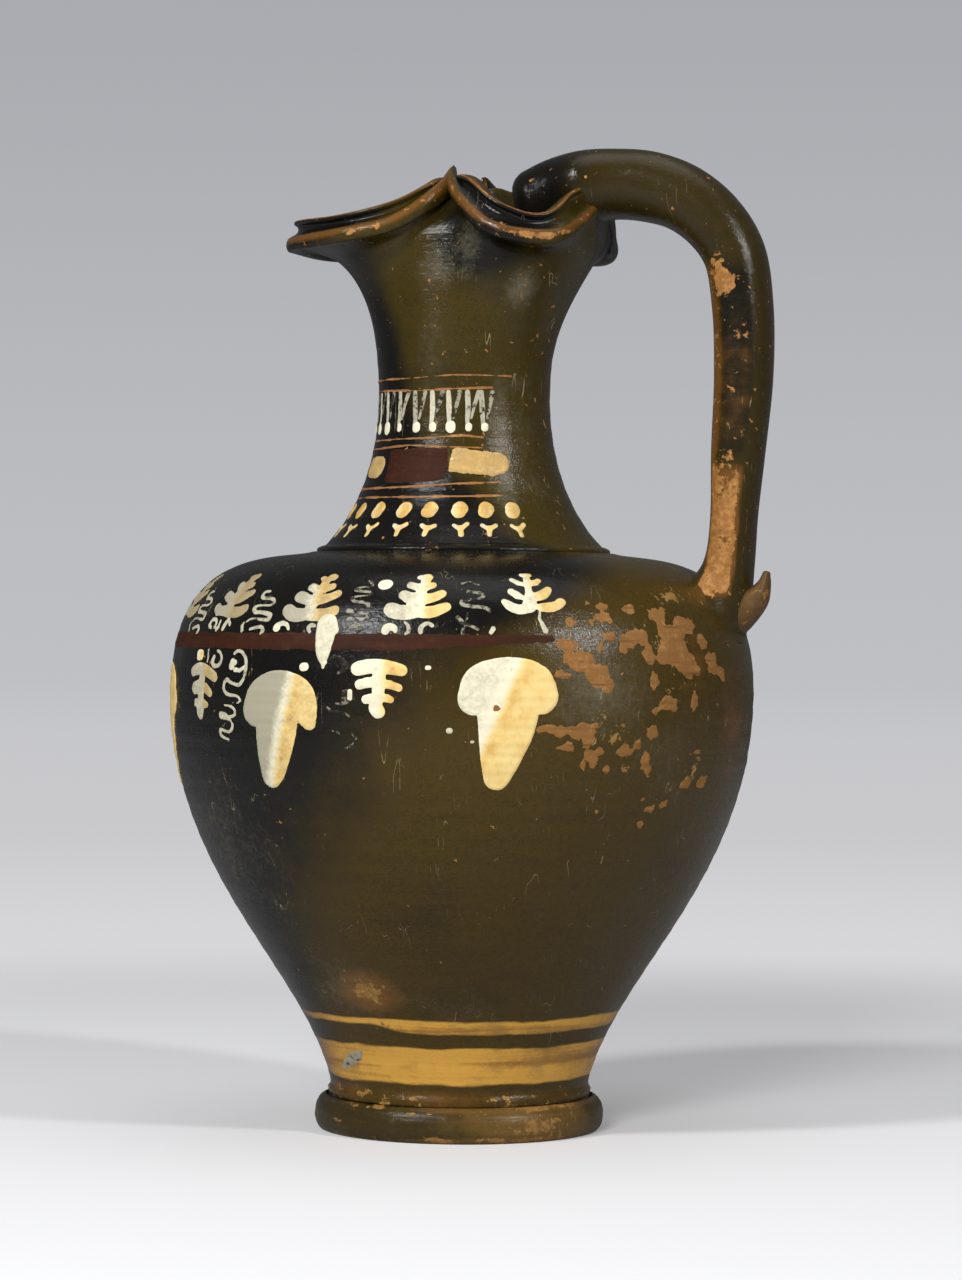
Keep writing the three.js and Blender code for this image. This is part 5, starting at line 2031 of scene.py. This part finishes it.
        left_patch = (
            (27, 172.8, 174.5), (29, 171.5, 176.2), (38, 170.7, 176.8), (46, 171, 176.6), (49, 172, 175.9),
            (50.5, 173.2, 174.6),
        )
        chip = ((98.2, 175, 176), (100.5, 175.2, 176.3))
        skins.append(Stripe(azimuth=115, height=174.8, rows=right_patch, uneven=0.6, proud=0.2, grey=0.45))
        skins.append(Stripe(azimuth=40, height=173.8, rows=left_patch, uneven=0.45, grey=0.5))
        skins.append(Stripe(azimuth=99.3, height=175.6, rows=chip, proud=0.3, uneven=0.3, gold=0.0))
        return skins

    def red_block(self) -> list[Skin]:
        """The red block between the neck's golden patches."""
        rows = (
            (54, 170.2, 177.8), (57, 169.6, 178.4), (75, 169.6, 178.4), (92, 169.8, 178.4),
            (96, 171, 178.2),
        )
        return [Stripe(azimuth=75, height=174, rows=rows, proud=0.03, uneven=0.5, grid=0.3)]

    def red_band(self) -> list[Skin]:
        """The red band on the shoulder."""
        rows = (
            (-1, 126.4, 130.4), (60, 126.3, 130.5), (90, 126.3, 130.6), (97, 126.5, 130.6),
            (105, 127.3, 130.6), (120, 128.5, 130.4), (124, 129, 130.1),
        )
        return [Stripe(azimuth=60, height=128.5, rows=rows, proud=0.03, uneven=0.5, grid=0.45, faint=0.12)]

    def cut_lines(self) -> list[Skin]:
        """The thin lines round the neck, given as rows of azimuth and height."""
        courses = (
            ((-1, 196.7), (70, 196.8), (100, 197.5), (139, 197.4)),
            ((-1, 194), (30, 194), (75, 193.5), (125, 194.3)),
            ((-1, 180.9), (45, 180.9), (80, 181.1), (105, 181.8), (119, 181.3)),
            ((-1, 178.9), (40, 178.7), (70, 179.3), (95, 178.8), (119, 178.6)),
            ((-1, 168.2), (41, 168.2), (70, 168.3), (100, 169.1), (128, 169.7)),
            ((-1, 165.8), (42, 165.8), (80, 165.7), (110, 165.9), (128, 166.2)),
        )
        half_width = 0.24
        skins = []
        for course in courses:
            rows = tuple((azimuth, z - half_width, z + half_width) for azimuth, z in course)
            line = {"height": rows[0][1], "rows": rows, "proud": 0.02, "uneven": 0.3, "grid": 0.24}
            skins.append(Stripe(azimuth=60, **line))
        return skins

    def build(self) -> None:
        """Paints everything, joining the figures of each field into one skin."""
        cream, red, line = self.cream.build(), self.red.build(), self.line.build()
        neck_red = [(self.neck, self.red_block()), (self.body, self.red_band())]
        for name, slot, material, fields in (
            ("shoulder_vine", Slot.CREAM, cream, [(self.body, self.shoulder_vine())]),
            ("belly_bunches", Slot.CREAM, cream, [(self.body, self.belly_bunches())]),
            ("neck_tongues_and_dots", Slot.CREAM, cream, [(self.neck, self.neck_tongues())]),
            ("red_band_and_block", Slot.MAROON, red, neck_red),
            ("neck_lines", Slot.CLAY, line, [(self.neck, self.cut_lines())]),
        ):
            skins = [skin.build(ground) for ground, painted in fields for skin in painted]
            settle(both_sides(skins), name, slot, material)
        pin_flake = ((112.7, 112.4, 1.3, 1.1),)
        flakes = [
            Torn(azimuth=142, height=115, ovals=FLAKES),
            Torn(azimuth=-142, height=115, ovals=FAR_FLAKES),
            Torn(azimuth=112.7, height=112.4, ovals=pin_flake, proud=0.28, uneven=0.7, grid=0.2),
        ]
        bared = [flake.build(self.body) for flake in flakes]
        settle(joined(bared), "flaked_patches", Slot.CLAY, self.bare.build())


def joined(pieces: list[bpy.types.Object]) -> bpy.types.Object:
    """Joins pieces into one object and merges what the cutting left doubled."""
    bpy.ops.object.select_all(action="DESELECT")
    for piece in pieces:
        piece.select_set(True)
    bpy.context.view_layer.objects.active = pieces[0]
    bpy.ops.object.join()
    whole = bpy.context.view_layer.objects.active
    edit(whole, bpy.ops.mesh.dissolve_degenerate, threshold=SLIVER)
    return whole


def both_sides(pieces: list[bpy.types.Object]) -> bpy.types.Object:
    """Joins pieces, and repeats them mirrored on the other side of the spout."""
    near = joined(pieces)
    select_only(near)
    bpy.ops.object.duplicate()
    far = bpy.context.view_layer.objects.active
    place_vertices(far, vertex_places(far) * np.array([1, -1, 1]))
    edit(far, bpy.ops.mesh.flip_normals)
    return joined([near, far])


# Studio


@dataclass
class Studio:
    """A pale floor that fades into a grey backdrop, soft lamps and the camera."""

    camera_azimuth: float = 16.5
    camera_distance: float = 1.058
    camera_height: float = 0.134
    focal_length: float = 112.5
    camera_roll: float = -0.45
    axis_shift: float = 0.0142
    horizon_shift: float = -0.0156
    floor_size: float = 16.0
    fade_start: float = 0.34
    fade_end: float = 0.60
    floor_lift: float = 0.09
    # Softboxes: place, size, power in watts, and whether glossy surfaces mirror them
    lamps: tuple = (
        ("key_softbox", (-0.62, -1.19, 1.10), 0.2, 11.5, True),
        ("front_softbox", (0.02, -1.6, 0.70), 0.5, 17.5, False),
        ("side_softbox", (1.22, -0.54, 0.86), 0.14, 7.5, True),
        ("top_softbox", (0.1, 0.1, 1.7), 1.2, 4.0, True),
    )
    aim: tuple[float, float, float] = (0, 0, 0.13)

    def build(self) -> None:
        """Sets up the floor, backdrop, lamps, camera and colour handling."""
        self.add_floor()
        self.add_world()
        for name, place, size, power, mirrored in self.lamps:
            self.add_lamp(name, place, size, power).visible_glossy = mirrored
        self.add_camera()
        bpy.context.scene.view_settings.view_transform = "Standard"

    def add_floor(self) -> None:
        """The pale floor, which catches the jug's shadow and turns into the backdrop further off."""
        bpy.ops.object.select_all(action="DESELECT")
        bpy.ops.mesh.primitive_plane_add(size=self.floor_size, location=(0, 0, 0))
        floor = bpy.context.active_object
        floor.name = "floor"
        material, tree, place = blank_material("matt_paper_floor")
        away = add_node(tree, "VectorMath", {0: place}, 1, operation="LENGTH")
        camera_ray = add_node(tree, "LightPath", output="Is Camera Ray")
        tint = coated(tree, linear("#a4a4a6"), ((camera_ray, linear("#f0f0f2")),))
        lift = add_node(tree, "Math", {0: camera_ray, 1: self.floor_lift}, operation="MULTIPLY")
        glow = {"Emission Color": linear("#f4f4f6"), "Emission Strength": lift}
        paper = add_node(tree, "BsdfPrincipled", {"Base Color": tint, "Roughness": 0.9, **glow})
        sweep = coated(
            tree, linear("#d8d8da"),
            (
                (share_of(tree, ((away, 1.0),), self.fade_start, 1.6), linear("#c9c9cc")),
                (share_of(tree, ((away, 1.0),), 1.0, 8.0), linear("#bfc0c4")),
            ),
        )
        seen = add_node(tree, "Emission", {"Color": sweep, "Strength": 1.0})
        far = share_of(tree, ((away, 1.0),), self.fade_start, self.fade_end)
        share = add_node(tree, "Math", {0: far, 1: camera_ray}, operation="MULTIPLY")
        surface = add_node(tree, "MixShader", {0: share, 1: paper, 2: seen})
        add_node(tree, "OutputMaterial", {"Surface": surface}, None)
        floor.data.materials.append(material)

    def add_world(self) -> None:
        """A dim white surround, seen by the camera as a grey sweep that pales towards the floor."""
        world = bpy.data.worlds.new("studio")
        bpy.context.scene.world = world
        world.use_nodes = True
        tree = world.node_tree
        tree.nodes.clear()
        way = add_node(tree, "TexCoord", output="Generated")
        up = add_node(tree, "SeparateXYZ", {0: way}, 2)
        darker = share_of(tree, ((up, 1.0),), -0.03, 0.19)
        sweep = coated(tree, linear("#bfc0c4"), ((darker, linear("#a8a9ae")),))
        seen = add_node(tree, "Background", {"Color": sweep, "Strength": 1.0})
        light = add_node(tree, "Background", {"Color": linear("#f2f3f5"), "Strength": 0.12})
        camera_ray = add_node(tree, "LightPath", output="Is Camera Ray")
        pick = add_node(tree, "MixShader", {0: camera_ray, 1: light, 2: seen})
        add_node(tree, "OutputWorld", {"Surface": pick}, None)

    def add_lamp(self, name: str, place: tuple, size: float, power: float) -> bpy.types.Object:
        """Adds a square softbox aimed at the jug's middle."""
        bpy.ops.object.light_add(type="AREA", location=place)
        lamp = bpy.context.active_object
        lamp.name = name
        lamp.data.size = size
        lamp.data.energy = power
        aim = Vector(self.aim) - Vector(place)
        lamp.rotation_euler = aim.to_track_quat("-Z", "Y").to_euler()
        return lamp

    def add_camera(self) -> None:
        """The camera, level, at the photograph's angle."""
        angle = math.radians(self.camera_azimuth)
        away = self.camera_distance
        place = (away * math.sin(angle), -away * math.cos(angle), self.camera_height)
        rotation = (math.pi / 2, math.radians(self.camera_roll), angle)
        bpy.ops.object.camera_add(location=place, rotation=rotation)
        camera = bpy.context.active_object
        camera.data.lens = self.focal_length
        camera.data.sensor_width = 36
        camera.data.shift_x = self.axis_shift
        camera.data.shift_y = self.horizon_shift
        bpy.context.scene.camera = camera


def main() -> None:
    """Builds the dressed jug and its studio."""
    logging.basicConfig(level=logging.INFO, format="%(name)s %(message)s")
    wall = Wall()
    bands = ((15.0, 24.6, 0.0), (30.4, 31.7, 1.7))
    body_slip = SlipGlaze("black_gloss_slip_body", clay="#8a6634", pale_clay="#a98546", bands=bands)
    glossy = {"grit_depth": 0.09, "roughness": 0.19, "speck_level": 0.685}
    neck_slip = SlipGlaze("black_gloss_slip_neck", olive="#41350d", **glossy)
    handle_slip = SlipGlaze("olive_gloss_slip_handle", olive="#3a2f10", **glossy)
    worn = {"olive": "#3a2e0e", "brown": "#6b5024", "clay": "#866032", "pale_clay": "#a07a40"}
    foot_slip = SlipGlaze("worn_slip_foot", roughness=0.27, **worn)
    spur_slip = SlipGlaze("rubbed_slip_spur", olive="#4a391d", brown="#6e502b", roughness=0.42)
    VesselBody(wall, body_slip).build()
    DiscFoot(foot_slip).build()
    TrefoilNeck(wall, neck_slip).build()
    Handle(wall, handle_slip).build()
    Spur(wall, spur_slip).build()
    Ornament(wall).build()
    Studio().build()


if __name__ == "__main__":
    main()
